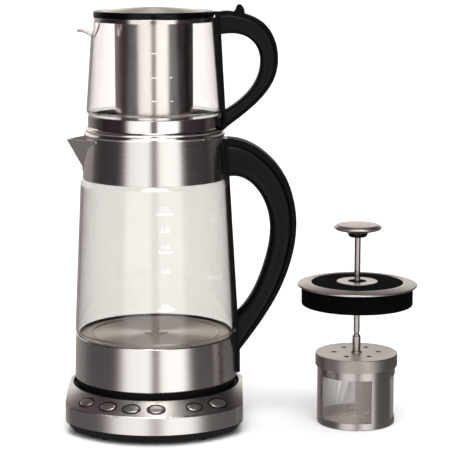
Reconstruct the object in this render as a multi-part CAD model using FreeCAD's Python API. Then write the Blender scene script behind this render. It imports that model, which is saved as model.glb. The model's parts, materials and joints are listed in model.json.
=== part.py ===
import FreeCAD, Part
import math
import os

"""Automatic tea maker, in millimetres, +Z up, standing on z = 0.

A glass kettle stands on a power base with six push buttons. A glass teapot with a steel infuser
stands on the kettle's mouth. Beside them stands a tea basket on a rod with its own floating lid.
Each piece is modelled about the axis of what it belongs to and then moved to that axis's place, so
that the origin lies on the table under the middle of everything.
"""

Vec = FreeCAD.Vector
Z_AXIS = Vec(0, 0, 1)

# ---- fits -----------------------------------------------------------------------------------
GAP = 0.3            # between pieces that move past each other or lie side by side
SLIP = 0.05          # radial, a pin, rod or screw in its hole
LIFT_GAP = 0.5       # radial, a piece that is lifted out of another by hand

# ---- what the rest hangs on ----------------------------------------------------------------
RING_FOOT_R = 73.3       # the kettle's steel ring, outside at its foot
DECK_Z = 34.0            # the kettle stands on this

# ---- power base -----------------------------------------------------------------------------
TRAY_MARGIN = 1.7        # tray outside the ring
TRAY_R = RING_FOOT_R + TRAY_MARGIN
PANEL_REACH = 20.0       # base outside the tray: in front, behind and at the sides
REAR_REACH = 9.0
SIDE_REACH = 3.5
PANEL_FALL = 8.0         # the band ends this far below the deck
BASE_FRONT_R = TRAY_R + PANEL_REACH  # front arc, about the kettle's axis
BASE_REAR_R = TRAY_R + REAR_REACH
BASE_HALF_W = TRAY_R + SIDE_REACH  # the sides are flat
BASE_CORNER_R = 24.0
BAND_TOP_Z = DECK_Z - PANEL_FALL  # top of the upright band, where the sloping panel starts
PANEL_TILT = 25.6        # degrees
PANEL_EDGE_R = 1.4
COVER_WALL = 1.0
PAN_RIM_Z = 10.3         # the steel cover stands on the pan here
PAN_WALL = 2.0
PAN_DRAW_IN = 6.5        # how far the pan narrows towards the table
PAN_LIP_H = 3.0
FOOT_R = 6.0
FOOT_H = 2.2
FOOT_X = 41.0
FOOT_FRONT_Y = -67.0
FOOT_REAR_Y = 56.0
TRAY_WALL = 2.2
TRAY_LIP_H = 2.2
BASE_SCREW_AT_R = 60.0
SCREW_R = 1.5
SCREW_HEAD_R = 3.0
SCREW_HEAD_H = 1.6
BOSS_R = 5.0
PLUG_R = 13.8
PLUG_H = 10.8
PLUG_TOP_Z = DECK_Z + PLUG_H
PLUG_FLANGE_R = 18.0
PLUG_FLANGE_H = 2.0
PLUG_BORE_R = 3.6
CONTACT_R = 8.7          # outside of the brass contact ring
CONTACT_WALL = 1.8
CONTACT_H = 6.4
CONTACT_SEAT_Z = DECK_Z + 1.6
GLAND_R = 5.0
GLAND_BORE_R = 3.3
GLAND_FLANGE = 1.6
GLAND_DEPTH = 7.0
GLAND_Z = 17.6

# ---- buttons: angle from the front in degrees (positive to the right), half width -------------
BUTTONS = (
    ("button_warm", -43.5, 7.1),
    ("button_coffee", -27.2, 7.1),
    ("button_tea", -12.4, 7.1),
    ("button_boil", 2.2, 7.1),
    ("button_start", 25.0, 6.6),
    ("button_power", 41.3, 8.0),
)
BUTTON_OVAL = 0.72       # height of a cap, up the slope, over its width
BUTTON_BACK = 9.8        # from the panel's front edge
BUTTON_AT_R = BASE_FRONT_R - BUTTON_BACK
BUTTON_PROUD = 0.9
BUTTON_DOME = 0.5
BUTTON_TRAVEL = 1.2
BUTTON_FLANGE = 0.7      # keeps the cap in its hole
BUTTON_FLANGE_H = 1.2
BUTTON_STEM_R = 2.2
BUTTON_STEM = 8.0        # from the panel's face to the stem's tip
BOARD_MARGIN = 5.5       # board behind the front edge
BOARD_W = 12.9
BOARD_OUT_R = BASE_FRONT_R - BOARD_MARGIN
BOARD_IN_R = BOARD_OUT_R - BOARD_W
BOARD_HALF_ANGLE = 52.0
BOARD_Z = 13.4
BOARD_T = 1.6
SWITCH_R = 3.0
BOARD_POST_ANGLES = (-49.0, -35.5, 13.0, 49.0)
BOARD_POST_R = 2.4

# ---- kettle ---------------------------------------------------------------------------------
RING_DRAFT = 1.2
RING_TOP_R = RING_FOOT_R - RING_DRAFT
RING_LIFT = 7.4
RING_H = 39.6
RING_Z = DECK_Z + RING_LIFT
RING_TOP_Z = RING_Z + RING_H
RING_WALL = 0.9
FOOT_RING_R = RING_FOOT_R - 1.9  # black ring that stands in the tray
FOOT_RING_WALL = 4.4
COVER_PLATE_T = 2.0
COVER_SLEEVE_R = RING_TOP_R - RING_WALL - 3 * GAP  # sleeve inside the steel ring, carries the heating plate
COVER_SLEEVE_WALL = 2.2
HEATER_Z = RING_TOP_Z - 1.0
HEATER_T = 1.2
HEATER_R = COVER_SLEEVE_R - COVER_SLEEVE_WALL - 2 * GAP
HEATER_DISC_R = 57.0     # bright inner disc, inside a groove
HEATER_GROOVE = 0.7
HEATER_RISE = 10.0
HEATER_FLANGE_Z = HEATER_Z - HEATER_RISE
SEAL_FOOT_Z = HEATER_FLANGE_Z + HEATER_T
SEAL_H = 4.0
DIMPLE_R = 11.6
DIMPLE_H = 0.8
NUB_R = 2.4
ELEMENT_AT_R = 44.0
ELEMENT_W = 8.0
ELEMENT_H = 7.0
ELEMENT_GAP_ANGLE = 50.0
TERMINAL_R = 1.6
TERMINAL_H = 14.0
SENSOR_R = 5.0
SENSOR_H = 16.0
SENSOR_FLANGE_R = 10.0
GLASS_WALL = 2.5
GLASS_IN_RING_R = RING_TOP_R - RING_WALL - 2 * GAP  # glass where it goes down into the ring
GLASS_FOOT_R = RING_TOP_R + 0.5  # widest, just above the ring
GLASS_SHOULDER_R = 66.2
GLASS_H = 136.5          # from the ring to the shoulder
GLASS_SHOULDER_Z = RING_TOP_Z + GLASS_H
GLASS_TOP_Z = GLASS_SHOULDER_Z + 11.5
UPPER_SEAL_H = 3.2
NECK_H = 38.2
NECK_DRAFT = 2.2
COLLAR_H = 4.1
NECK_Z = GLASS_SHOULDER_Z + 3.9
NECK_FOOT_R = GLASS_SHOULDER_R - 2.1
NECK_TOP_R = NECK_FOOT_R - NECK_DRAFT
NECK_TOP_Z = NECK_Z + NECK_H
NECK_WALL = 1.0
GLASS_IN_NECK_R = NECK_FOOT_R - NECK_WALL - 0.5
COLLAR_R = NECK_TOP_R + 0.9
COLLAR_TOP_Z = NECK_TOP_Z + COLLAR_H  # the teapot stands on this
COLLAR_SLEEVE_DEPTH = 11.0
COLLAR_SLEEVE_WALL = 0.7
SPOUT_ROOT_Z = NECK_Z + 6.6
SPOUT_TOP_Z = NECK_TOP_Z - 4.3  # at the tip; the mouth rises from there to the neck
SPOUT_MOUTH_RISE = 0.09
SPOUT_TIP_X = 79.0       # how far the V spout reaches from the axis
SPOUT_HALF_W = 35.0      # where it meets the neck
SPOUT_WALL = 1.0
SPOUT_NOSE_R = 2.6
SPOUT_FLANGE_W = 3.4
SPOUT_FLANGE_T = 0.8

# ---- kettle handle, side view: distance out from the strap, and share of the way from tail to head ----
K_STRAP_T = 2.6          # strap outside the neck's foot
K_STRAP_FOOT_T = 2.9     # strap outside the steel ring
K_STRAP_X = NECK_FOOT_R + K_STRAP_T  # outer face at the top of the finger opening
K_STRAP_TOP_Z = NECK_Z + 1.0
K_STRAP_FOOT_Z = RING_TOP_Z - 18.2  # upright below this
K_STRAP_LEAN = (RING_FOOT_R + K_STRAP_FOOT_T - K_STRAP_X) / (K_STRAP_TOP_Z - K_STRAP_FOOT_Z)
K_HEAD_Z = NECK_TOP_Z - 2.6
K_TAIL_Z = RING_Z + 3.2
K_STRAP_W = 21.0
K_GRIP_W = 26.0
K_SPINE_W = 20.0
K_SPINE_T = (5.8, 2.8)   # thickness at the head and at the foot
K_OUTER = ((15.2, 0.9873), (35.4, 0.927), (51.9, 0.8117), (57.1, 0.6323), (50.0, 0.4774),
           (34.6, 0.3216), (15.1, 0.1883))
K_OUTER_FOOT_Z = K_TAIL_Z + 21.0
K_INNER = ((12.6, 0.8305), (25.6, 0.7721), (33.5, 0.6281), (24.3, 0.444), (15.1, 0.3508))
K_INNER_TOP_Z = K_HEAD_Z - 34.2
K_INNER_FOOT_Z = K_TAIL_Z + 54.9
K_FILLETS = (4.5, 8.5)   # grip edges beside the spine and at the fingers
K_SCREW_ZS = (NECK_Z + 15.1, NECK_Z + 24.6)
K_LUG_Z = RING_Z + 12.6
K_LUG_R = 4.0

# ---- teapot ---------------------------------------------------------------------------------
POT_FOOT_R = COLLAR_R - 1.6  # flared foot
POT_BAND_R = POT_FOOT_R - 2.3
POT_BAND_WALL = 1.0
POT_BAND_Z = COLLAR_TOP_Z + 4.3
POT_BAND_H = 9.7
POT_BAND_TOP_Z = POT_BAND_Z + POT_BAND_H
POT_SPIGOT_DEPTH = 5.0
POT_LEDGE_R = 49.0
POT_GLASS_Z = POT_BAND_Z + POT_BAND_WALL
POT_GLASS_WALL = 2.2
POT_GLASS_FLOOR = 3.0
POT_GLASS_IN_BAND_R = POT_BAND_R - POT_BAND_WALL - GAP
POT_GLASS_FOOT_R = POT_BAND_R + 1.4
POT_GLASS_FOOT_Z = POT_BAND_TOP_Z + 3.1
POT_GLASS_DRAFT = 6.0
POT_GLASS_TOP_R = POT_GLASS_FOOT_R - POT_GLASS_DRAFT
POT_H = 98.9             # from the collar to the glass's mouth
POT_GLASS_TOP_Z = COLLAR_TOP_Z + POT_H
LIP_X = (50.0, 57.2, 62.5, 67.3)             # sections of the pouring lip, out from the axis
LIP_HALF_W = (19.0, 13.5, 8.5, 3.4)
LIP_DEPTH = (24.6, 15.4, 12.8, 12.2)         # its lowest line, below the mouth
LIP_DROP = (0.0, 2.2, 6.0, 10.7)             # its edges, below the mouth
INFUSER_R = 34.5
INFUSER_WALL = 0.6
INFUSER_FOOT_GAP = 5.2
INFUSER_Z = POT_GLASS_Z + POT_GLASS_FLOOR + INFUSER_FOOT_GAP
INFUSER_FLANGE_R = POT_GLASS_TOP_R - 0.5
INFUSER_FLANGE_T = 0.8
INFUSER_SKIRT_H = 3.0
LID_R = INFUSER_FLANGE_R - 2 * GAP
LID_Z = POT_GLASS_TOP_Z + INFUSER_FLANGE_T + GAP
LID_H = 5.4
LID_TOP_Z = LID_Z + LID_H
LID_DOME_R = LID_R - 7.2
LID_DOME_H = 3.2
LID_DOME_T = 0.8
LID_PLUG_R = INFUSER_R - 1.5
LID_PLUG_H = 4.0
LID_WALL = 2.4

# ---- teapot handle, drawn in the same way -----------------------------------------------------
T_STRAP_X = POT_GLASS_TOP_R + 4.3
T_STRAP_TOP_Z = POT_GLASS_TOP_Z + 0.1
T_STRAP_LEAN = 0.0552
T_HEAD_Z = POT_GLASS_TOP_Z + 6.0
T_TAIL_Z = COLLAR_TOP_Z + 0.9
T_STRAP_W = 19.0
T_GRIP_W = 24.0
T_SPINE_W = 18.0
T_SPINE_T = (2.6, 2.2)
T_OUTER = ((11.3, 1.0), (22.9, 0.9769), (34.4, 0.9269), (44.5, 0.8192), (48.9, 0.6481),
           (45.3, 0.4529), (34.2, 0.2933), (16.7, 0.1413))
T_OUTER_FOOT_Z = T_TAIL_Z + 2.3
T_INNER = ((10.3, 0.8154), (21.1, 0.7923), (30.4, 0.7058), (32.9, 0.5817), (26.9, 0.4),
           (13.35, 0.2558))
T_INNER_TOP_Z = T_HEAD_Z - 20.0
T_INNER_FOOT_Z = T_TAIL_Z + 17.4
T_FILLETS = (3.2, 5.4)
T_FOOT_PAD_W = 20.0      # half width of the pad over the steel band
T_FOOT_PAD_H = 12.0
T_FOOT_PAD_Z = POT_BAND_Z + 5.5
T_FOOT_PAD_T = 3.0
HINGE_X = T_STRAP_X + 7.4
HINGE_Z = POT_GLASS_TOP_Z + 2.0
HINGE_PIN_R = 1.5
HINGE_PIN_L = T_STRAP_W + 1.0
LEVER_W = 8.0
LEVER_T = 3.0
LEVER_EYE_R = 3.2
LEVER_SWING = 62.0       # degrees that the lid opens, until the lever meets its slot
LEVER_TAIL_X = HINGE_X + 15.0
LEVER_SLOT_GAP = 0.6
TAB = ((3.0, -0.2), (6.0, 2.3), (7.6, 5.6), (9.4, 6.2), (12.4, 4.0), (14.0, 0.0))   # from the hinge and the head

# ---- tea basket with its rod and floating lid -----------------------------------------------------
BASKET_GAP = 181.0       # from the kettle's axis to the basket's
BASKET_FORWARD = 12.0
BASKET_R = 35.0
BASKET_WALL = 0.8
BASKET_TOP_Z = 63.2
BASKET_WINDOW_Z = 6.5
BASKET_WINDOW_TOP_Z = BASKET_TOP_Z - 17.7
BASKET_WINDOW_ANGLE = 83.5
BASKET_WINDOW_AT = -22.2 # middle of the first window, from the front, positive to the right
BASKET_WINDOWS = 3
BASKET_FLANGE = 5.0
MESH_T = 0.4
STRAINER_T = 0.6
STRAINER_HOLE_R = 2.0    # the same holes in the basket and in the infuser
STRAINER_PITCH = 10.0
STRAINER_CIRCLES = 2
CAP_R = BASKET_R + 1.9
CAP_WALL = 0.9
CAP_SKIRT_Z = BASKET_TOP_Z - 10.2
CAP_HOLE_R = 2.1
CAP_HOLE_AT_R = 20.0
CAP_HOLES = 6
ROD_R = 2.75
SOCKET_R = ROD_R + 0.95
SOCKET_FLANGE_R = SOCKET_R + 1.3
SOCKET_FLANGE_H = 1.3
SOCKET_H = 15.4
KNOB_R = 21.2
ROD_L = 110.8            # rod above the basket
KNOB_Z = BASKET_TOP_Z + ROD_L
KNOB_H = 7.2
KNOB_EDGE_T = 4.4          # thickness of its rounded edge
KNOB_COLLAR_R = 8.8
KNOB_COLLAR_H = 4.4
FLOAT_RIM_R = 53.5
FLOAT_RIM_IN_R = FLOAT_RIM_R - 12.5
FLOAT_UP = 62.4          # floating lid above the basket, at rest
FLOAT_RIM_Z = BASKET_TOP_Z + FLOAT_UP
FLOAT_RIM_RISE = 3.4
FLOAT_RIM_T = 1.0
FLOAT_SKIRT_R = FLOAT_RIM_R - 3.7
FLOAT_SKIRT_Z = FLOAT_RIM_Z - 17.2
FLOAT_WALL = 2.4
FLOAT_DECK_Z = FLOAT_RIM_Z + FLOAT_RIM_RISE - 0.5  # the black disc inside the rim
WASHER_R = 18.3
WASHER_T = 0.8
GROMMET_R = 8.5
GROMMET_FLANGE_R = GROMMET_R + 2.5
GROMMET_FLANGE_T = 1.6
FLOAT_DOWN = 39.0        # how far the floating lid slides down its rod

# ---- where the two axes stand -----------------------------------------------------------------
RIGHT_REACH = BASKET_GAP + FLOAT_RIM_R
KETTLE_AT = Vec((BASE_HALF_W - RIGHT_REACH) / 2, (BASE_FRONT_R - BASE_REAR_R) / 2, 0)
BASKET_AT = KETTLE_AT + Vec(BASKET_GAP, -BASKET_FORWARD, 0)

PANEL_SLOPE = math.tan(math.radians(PANEL_TILT))


# ---- small tools --------------------------------------------------------------------------------
def box(x0, x1, y0, y1, z0, z1):
    return Part.makeBox(x1 - x0, y1 - y0, z1 - z0, Vec(x0, y0, z0))


def cyl(radius, z0, z1, x=0.0, y=0.0):
    return Part.makeCylinder(radius, z1 - z0, Vec(x, y, z0))


def oval_rod(half_w, half_h, z0, z1):
    face = Part.Face(Part.Wire(Part.Ellipse(Vec(0, 0, z0), half_w, half_h).toShape()))
    return face.extrude(Vec(0, 0, z1 - z0))


def tube(r0, r1, z0, z1):
    return cyl(r1, z0, z1).cut(cyl(r0, z0 - 1, z1 + 1))


def rod_x(radius, x0, x1, z, y=0.0):
    return Part.makeCylinder(radius, x1 - x0, Vec(x0, y, z), Vec(1, 0, 0))


def rod_y(radius, half, x, z):
    return Part.makeCylinder(radius, 2 * half, Vec(x, -half, z), Vec(0, 1, 0))


def rounded_wire(corners):
    """Closed wire in the XZ plane. A corner is (x, z) or (x, z, radius of its rounding)."""
    edges, starts = [], []
    count = len(corners)
    for i, corner in enumerate(corners):
        here = Vec(corner[0], 0, corner[1])
        radius = corner[2] if len(corner) > 2 else 0.0
        before, after = corners[i - 1], corners[(i + 1) % count]
        to_before = (Vec(before[0], 0, before[1]) - here).normalize()
        to_after = (Vec(after[0], 0, after[1]) - here).normalize()
        if radius:
            half = to_before.getAngle(to_after) / 2
            reach = radius / math.tan(half)
            middle = here + (to_before + to_after).normalize() * (radius / math.sin(half) - radius)
            first, second = here + to_before * reach, here + to_after * reach
            starts.append((first, middle, second))
        else:
            starts.append((here, None, here))
    for i, (first, middle, second) in enumerate(starts):
        last = starts[i - 1][2]
        if last.distanceToPoint(first) > 1e-6:
            edges.append(Part.LineSegment(last, first).toShape())
        if middle is not None:
            edges.append(Part.Arc(first, middle, second).toShape())
    return Part.Wire(edges)


def turned(corners, angle=360.0):
    """Solid of revolution about Z from a profile of (radius, z[, rounding]) corners."""
    return Part.Face(rounded_wire(corners)).revolve(Vec(0, 0, 0), Z_AXIS, angle)


def slab(wire, half_width):
    """The flat region inside an XZ wire, thickened to both sides."""
    face = Part.Face(wire)
    face.translate(Vec(0, -half_width, 0))
    return face.extrude(Vec(0, 2 * half_width, 0))


def spun(shape, angle):
    """A copy turned about Z; the angle is measured from +X towards +Y."""
    copy = shape.copy()
    copy.rotate(Vec(0, 0, 0), Z_AXIS, angle)
    return copy


def from_front(angle, radius):
    """Point at an angle from the front (-Y), positive towards +X."""
    a = math.radians(angle)
    return radius * math.sin(a), -radius * math.cos(a)


def hole_ring(ring_r, count, radius, z0, z1):
    """Round holes evenly round one circle."""
    places = [from_front(360.0 * k / count, ring_r) for k in range(count)]
    return [cyl(radius, z0, z1, x, y) for x, y in places]


def strainer_holes(z0, z1):
    """One hole in the middle, then 6, 12 ... on circles a pitch apart."""
    holes = [cyl(STRAINER_HOLE_R, z0, z1)]
    for k in range(1, STRAINER_CIRCLES + 1):
        holes += hole_ring(k * STRAINER_PITCH, 6 * k, STRAINER_HOLE_R, z0, z1)
    return Part.makeCompound(holes)


def joined(shapes):
    return shapes[0].multiFuse(shapes[1:]).removeSplitter()


def save(node, shape, at):
    """Write one node at its place."""
    placed = shape.copy()
    placed.translate(at)
    placed.exportStep("parts/" + node + ".step")


# ---- power base ---------------------------------------------------------------------------------
def base_plan(inset, z0, z1):
    """The base's outline from above: wide front arc, flat sides, rear arc, rounded corners."""
    half = BASE_HALF_W - inset
    front = cyl(BASE_FRONT_R - inset, z0, z1).common(box(-half, half, -BASE_FRONT_R, 0, z0, z1))
    rear = cyl(BASE_REAR_R - inset, z0, z1).common(box(-half, half, 0, BASE_REAR_R, z0, z1))
    plan = front.fuse(rear).removeSplitter()
    corners = []
    for edge in plan.Edges:
        middle = edge.CenterOfMass
        upright = abs(edge.BoundBox.ZLength - (z1 - z0)) < 1e-6
        if upright and abs(abs(middle.x) - half) < 1e-3:
            corners.append(edge)
    return plan.makeFillet(BASE_CORNER_R - inset, corners)


def under_panel(drop, wall):
    """Everything below the sloping panel, lowered by drop and drawn in by wall."""
    radius = BASE_FRONT_R - wall
    edge_z = BAND_TOP_Z + wall * PANEL_SLOPE - drop
    apex_z = edge_z + radius * PANEL_SLOPE
    low_z = PAN_RIM_Z - 1
    return turned([(0, low_z), (radius, low_z), (radius, edge_z, PANEL_EDGE_R), (0, apex_z)])


def on_panel(shape, angle):
    """Move a shape built about +Z at the origin onto the panel's face, square to it."""
    placed = shape.copy()
    placed.rotate(Vec(0, 0, 0), Vec(1, 0, 0), PANEL_TILT)
    height = BAND_TOP_Z + (BASE_FRONT_R - BUTTON_AT_R) * PANEL_SLOPE
    placed.translate(Vec(0, -BUTTON_AT_R, height))
    placed.rotate(Vec(0, 0, 0), Z_AXIS, angle)
    return placed


def base_cover():
    drop = COVER_WALL / math.cos(math.radians(PANEL_TILT))
    top_z = DECK_Z + TRAY_LIP_H + PAN_RIM_Z
    outer = base_plan(0.0, PAN_RIM_Z, top_z).common(under_panel(0.0, 0.0))
    inner = base_plan(COVER_WALL, PAN_RIM_Z - 1, top_z).common(under_panel(drop, COVER_WALL))
    cover = outer.cut(inner).cut(cyl(TRAY_R + GAP, PAN_RIM_Z, top_z))
    for _, angle, half_w in BUTTONS:
        room = GAP + SLIP
        cover = cover.cut(on_panel(oval_rod(half_w + room, half_w * BUTTON_OVAL + room, -6, 6), angle))
    return cover.cut(gland_rod(GLAND_R + SLIP, BASE_REAR_R - 5, 8))


def base_screw_places():
    return [from_front(angle, BASE_SCREW_AT_R) for angle in (45, 135, 225, 315)]


def base_pan():
    wires = []
    for inset, z in ((COVER_WALL / 2 + PAN_DRAW_IN, FOOT_H), (COVER_WALL / 2, PAN_RIM_Z)):
        plan = base_plan(inset, z, z + 1)
        floor = [f for f in plan.Faces if abs(f.CenterOfMass.z - z) < 1e-6][0]
        wires.append(floor.OuterWire)
    outer = Part.makeLoft(wires, True, True)
    floor_z = FOOT_H + PAN_WALL
    hollow = base_plan(COVER_WALL + PAN_DRAW_IN + PAN_WALL, floor_z, PAN_RIM_Z + PAN_LIP_H + 1)
    lip_inset = COVER_WALL + GAP
    lip = base_plan(lip_inset, PAN_RIM_Z, PAN_RIM_Z + PAN_LIP_H)
    lip = lip.cut(base_plan(lip_inset + PAN_WALL, PAN_RIM_Z - 1, PAN_RIM_Z + PAN_LIP_H + 1))
    pan = joined([outer, lip]).cut(hollow)
    shoulder = base_plan(lip_inset + PAN_WALL, PAN_RIM_Z - PAN_WALL, PAN_RIM_Z + PAN_LIP_H + 1)
    pan = pan.cut(shoulder).cut(gland_rod(GLAND_R + SLIP, BASE_REAR_R - 12, 12))
    for x, y in base_screw_places():
        pan = pan.fuse(cyl(BOSS_R, floor_z, pan_boss_z(), x, y))
        pan = pan.cut(cyl(SCREW_HEAD_R + GAP, FOOT_H - 1, pan_head_z(), x, y))
        pan = pan.cut(cyl(SCREW_R + SLIP, FOOT_H, pan_boss_z() + 1, x, y))
    for angle in BOARD_POST_ANGLES:
        x, y = from_front(angle, (BOARD_IN_R + BOARD_OUT_R) / 2)
        pan = pan.fuse(cyl(BOARD_POST_R, floor_z, BOARD_Z, x, y))
    for x, y in foot_places():
        pan = pan.cut(cyl(FOOT_R + SLIP, FOOT_H - 1, FOOT_H + PAN_WALL / 2, x, y))
    return pan.removeSplitter()


def gland_rod(radius, y, length):
    return Part.makeCylinder(radius, length, Vec(0, y, GLAND_Z), Vec(0, 1, 0))


def pan_boss_z():
    return FOOT_H + PAN_WALL + 3.0


def pan_head_z():
    return pan_boss_z() - PAN_WALL


def foot_places():
    return [(sx * FOOT_X, y) for y in (FOOT_FRONT_Y, FOOT_REAR_Y) for sx in (-1, 1)]


def base_feet():
    top_z = FOOT_H + PAN_WALL / 2
    profile = [(0, 0), (FOOT_R, 0, 0.8), (FOOT_R, top_z), (0, top_z)]
    feet = []
    for x, y in foot_places():
        foot = turned(profile)
        foot.translate(Vec(x, y, 0))
        feet.append(foot)
    return Part.makeCompound(feet)


def tray_screw_end_z():
    return DECK_Z - TRAY_WALL - 4.0


def base_tray():
    floor_z = PAN_RIM_Z - PAN_WALL
    under_z = DECK_Z - TRAY_WALL
    lip_z = DECK_Z + TRAY_LIP_H
    hole_r = PLUG_R + GAP
    tray = turned([
        (hole_r, DECK_Z), (TRAY_R - 1.3, DECK_Z), (TRAY_R - 0.9, lip_z), (TRAY_R, lip_z, 0.4),
        (TRAY_R, floor_z), (TRAY_R - TRAY_WALL, floor_z), (TRAY_R - TRAY_WALL, under_z),
        (hole_r, under_z)])
    for x, y in base_screw_places():
        tray = tray.fuse(cyl(BOSS_R, pan_boss_z(), under_z, x, y))
        tray = tray.cut(cyl(SCREW_R + SLIP, pan_boss_z() - 1, tray_screw_end_z(), x, y))
    return tray.removeSplitter()


def base_screws():
    screws = []
    for x, y in base_screw_places():
        head = cyl(SCREW_HEAD_R, pan_head_z() - SCREW_HEAD_H, pan_head_z(), x, y)
        head = head.cut(cyl(SCREW_HEAD_R / 3, 0, pan_head_z() - SCREW_HEAD_H / 2, x, y))
        shank = cyl(SCREW_R, pan_head_z() - SCREW_HEAD_H / 3, tray_screw_end_z() - 1, x, y)
        screws.append(head.fuse(shank).removeSplitter())
    return Part.makeCompound(screws)


def base_plug():
    """Round plug with a central bore and one groove, for contacts that can turn full circle."""
    flange_z = DECK_Z - TRAY_WALL
    plug = turned([
        (0, flange_z - PLUG_FLANGE_H), (PLUG_FLANGE_R, flange_z - PLUG_FLANGE_H),
        (PLUG_FLANGE_R, flange_z), (PLUG_R, flange_z), (PLUG_R, PLUG_TOP_Z, 1.5), (0, PLUG_TOP_Z)])
    plug = plug.cut(cyl(PLUG_BORE_R, CONTACT_SEAT_Z, PLUG_TOP_Z + 1))
    groove = tube(CONTACT_R - CONTACT_WALL - GAP, CONTACT_R + GAP, CONTACT_SEAT_Z, PLUG_TOP_Z + 1)
    return plug.cut(groove)


def contact_ring():
    top_z = CONTACT_SEAT_Z + CONTACT_H
    inner = CONTACT_R - CONTACT_WALL
    return turned([(inner, CONTACT_SEAT_Z), (CONTACT_R, CONTACT_SEAT_Z),
                   (CONTACT_R, top_z, 0.6), (inner, top_z, 0.6)])


def mains_gland():
    wall_y = BASE_REAR_R
    flange = gland_rod(GLAND_R + GLAND_FLANGE, wall_y, GLAND_FLANGE)
    flange = flange.makeFillet(0.6, [e for e in flange.Edges if e.CenterOfMass.y > wall_y + 1])
    body = gland_rod(GLAND_R, wall_y - GLAND_DEPTH, GLAND_DEPTH)
    bore = gland_rod(GLAND_BORE_R, wall_y - GLAND_DEPTH - 1, GLAND_DEPTH + GLAND_FLANGE + 2)
    return flange.fuse(body).cut(bore).removeSplitter()


def button(half_w):
    """Oval cap with a low dome, a flange below the panel that keeps it in, and a round stem."""
    flange_z = -COVER_WALL - GAP
    under_z = flange_z - BUTTON_FLANGE_H
    cap = turned([
        (0, BUTTON_PROUD + BUTTON_DOME), (half_w - 1.4, BUTTON_PROUD, 3.0),
        (half_w, BUTTON_PROUD - 0.7, 0.4), (half_w, flange_z - 0.4), (0, flange_z - 0.4)])
    squeeze = FreeCAD.Matrix()
    squeeze.scale(1.0, BUTTON_OVAL, 1.0)
    cap = cap.transformGeometry(squeeze)
    flange = oval_rod(half_w + BUTTON_FLANGE, half_w * BUTTON_OVAL + BUTTON_FLANGE, under_z, flange_z)
    return joined([cap, flange, cyl(BUTTON_STEM_R, -BUTTON_STEM, under_z + 0.4)])


def control_board():
    """Curved board behind the panel with one switch under each button's stem."""
    sector = turned([(BOARD_IN_R, BOARD_Z), (BOARD_OUT_R, BOARD_Z),
                     (BOARD_OUT_R, BOARD_Z + BOARD_T), (BOARD_IN_R, BOARD_Z + BOARD_T)],
                    2 * BOARD_HALF_ANGLE)
    sector.rotate(Vec(0, 0, 0), Z_AXIS, -90 - BOARD_HALF_ANGLE)
    tilt = math.radians(PANEL_TILT)
    reach = BUTTON_STEM + BUTTON_TRAVEL
    panel_z = BAND_TOP_Z + (BASE_FRONT_R - BUTTON_AT_R) * PANEL_SLOPE
    stem_low_z = panel_z - reach * math.cos(tilt) - BUTTON_STEM_R * math.sin(tilt)
    pieces = [sector]
    for _, angle, _ in BUTTONS:
        x, y = from_front(angle, BUTTON_AT_R - reach * math.sin(tilt))
        pieces.append(cyl(SWITCH_R, BOARD_Z + BOARD_T / 2, stem_low_z - GAP, x, y))
    return joined(pieces)


# ---- kettle -------------------------------------------------------------------------------------
def ring_r(z):
    """Outside radius of the tapered steel ring."""
    return RING_FOOT_R + (RING_TOP_R - RING_FOOT_R) * (z - RING_Z) / (RING_TOP_Z - RING_Z)


def kettle_base_ring():
    """Steel ring with its foot turned in under the kettle and its top edge rolled in."""
    turn_in = RING_FOOT_R - FOOT_RING_R
    lip_r = GLASS_IN_RING_R + GAP
    ring = turned([
        (RING_FOOT_R - turn_in, RING_Z), (RING_FOOT_R, RING_Z, 1.2), (RING_TOP_R, RING_TOP_Z, 1.0),
        (lip_r, RING_TOP_Z), (lip_r, RING_TOP_Z - RING_WALL),
        (RING_TOP_R - RING_WALL, RING_TOP_Z - RING_WALL),
        (RING_FOOT_R - RING_WALL, RING_Z + RING_WALL), (RING_FOOT_R - turn_in, RING_Z + RING_WALL)])
    return ring.cut(rod_x(K_LUG_R + GAP, COVER_SLEEVE_R, RING_FOOT_R + 5, K_LUG_Z))


def kettle_bottom_cover():
    """Black foot ring, floor plate and the sleeve that carries the heating plate."""
    hole_r = PLUG_R + LIFT_GAP + 2.0 + GAP
    foot_in = FOOT_RING_R - FOOT_RING_WALL
    plate_z = RING_Z - COVER_PLATE_T
    sleeve_in = COVER_SLEEVE_R - COVER_SLEEVE_WALL
    cover = turned([
        (hole_r, plate_z), (foot_in, plate_z), (foot_in, DECK_Z, 0.8), (FOOT_RING_R, DECK_Z, 0.8),
        (FOOT_RING_R, plate_z), (RING_FOOT_R - 0.6, plate_z + 0.6), (RING_FOOT_R - 0.6, RING_Z),
        (COVER_SLEEVE_R, RING_Z), (COVER_SLEEVE_R, HEATER_FLANGE_Z), (sleeve_in, HEATER_FLANGE_Z),
        (sleeve_in, RING_Z), (hole_r, RING_Z)])
    cover = cover.cut(rod_x(SCREW_R + SLIP, sleeve_in - 5, COVER_SLEEVE_R + 1, K_LUG_Z))
    return cover


def kettle_socket():
    """Cup over the plug, with the central pin that goes into the plug's bore."""
    cavity_r = PLUG_R + LIFT_GAP
    outer_r = cavity_r + 2.0
    roof_z = PLUG_TOP_Z + 1.2
    foot_z = DECK_Z + TRAY_LIP_H
    socket = turned([
        (cavity_r, foot_z), (outer_r, foot_z), (outer_r, RING_Z), (outer_r + 4, RING_Z),
        (outer_r + 4, RING_Z + 2), (outer_r, RING_Z + 2), (outer_r, roof_z + 2, 1.0),
        (0, roof_z + 2), (0, roof_z), (cavity_r, roof_z, 1.0)])
    pin_r = PLUG_BORE_R - 1.6
    pin = turned([(0, CONTACT_SEAT_Z + 1), (pin_r, CONTACT_SEAT_Z + 1, 0.8),
                  (pin_r, roof_z + 1), (0, roof_z + 1)])
    return joined([socket, pin])


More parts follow.
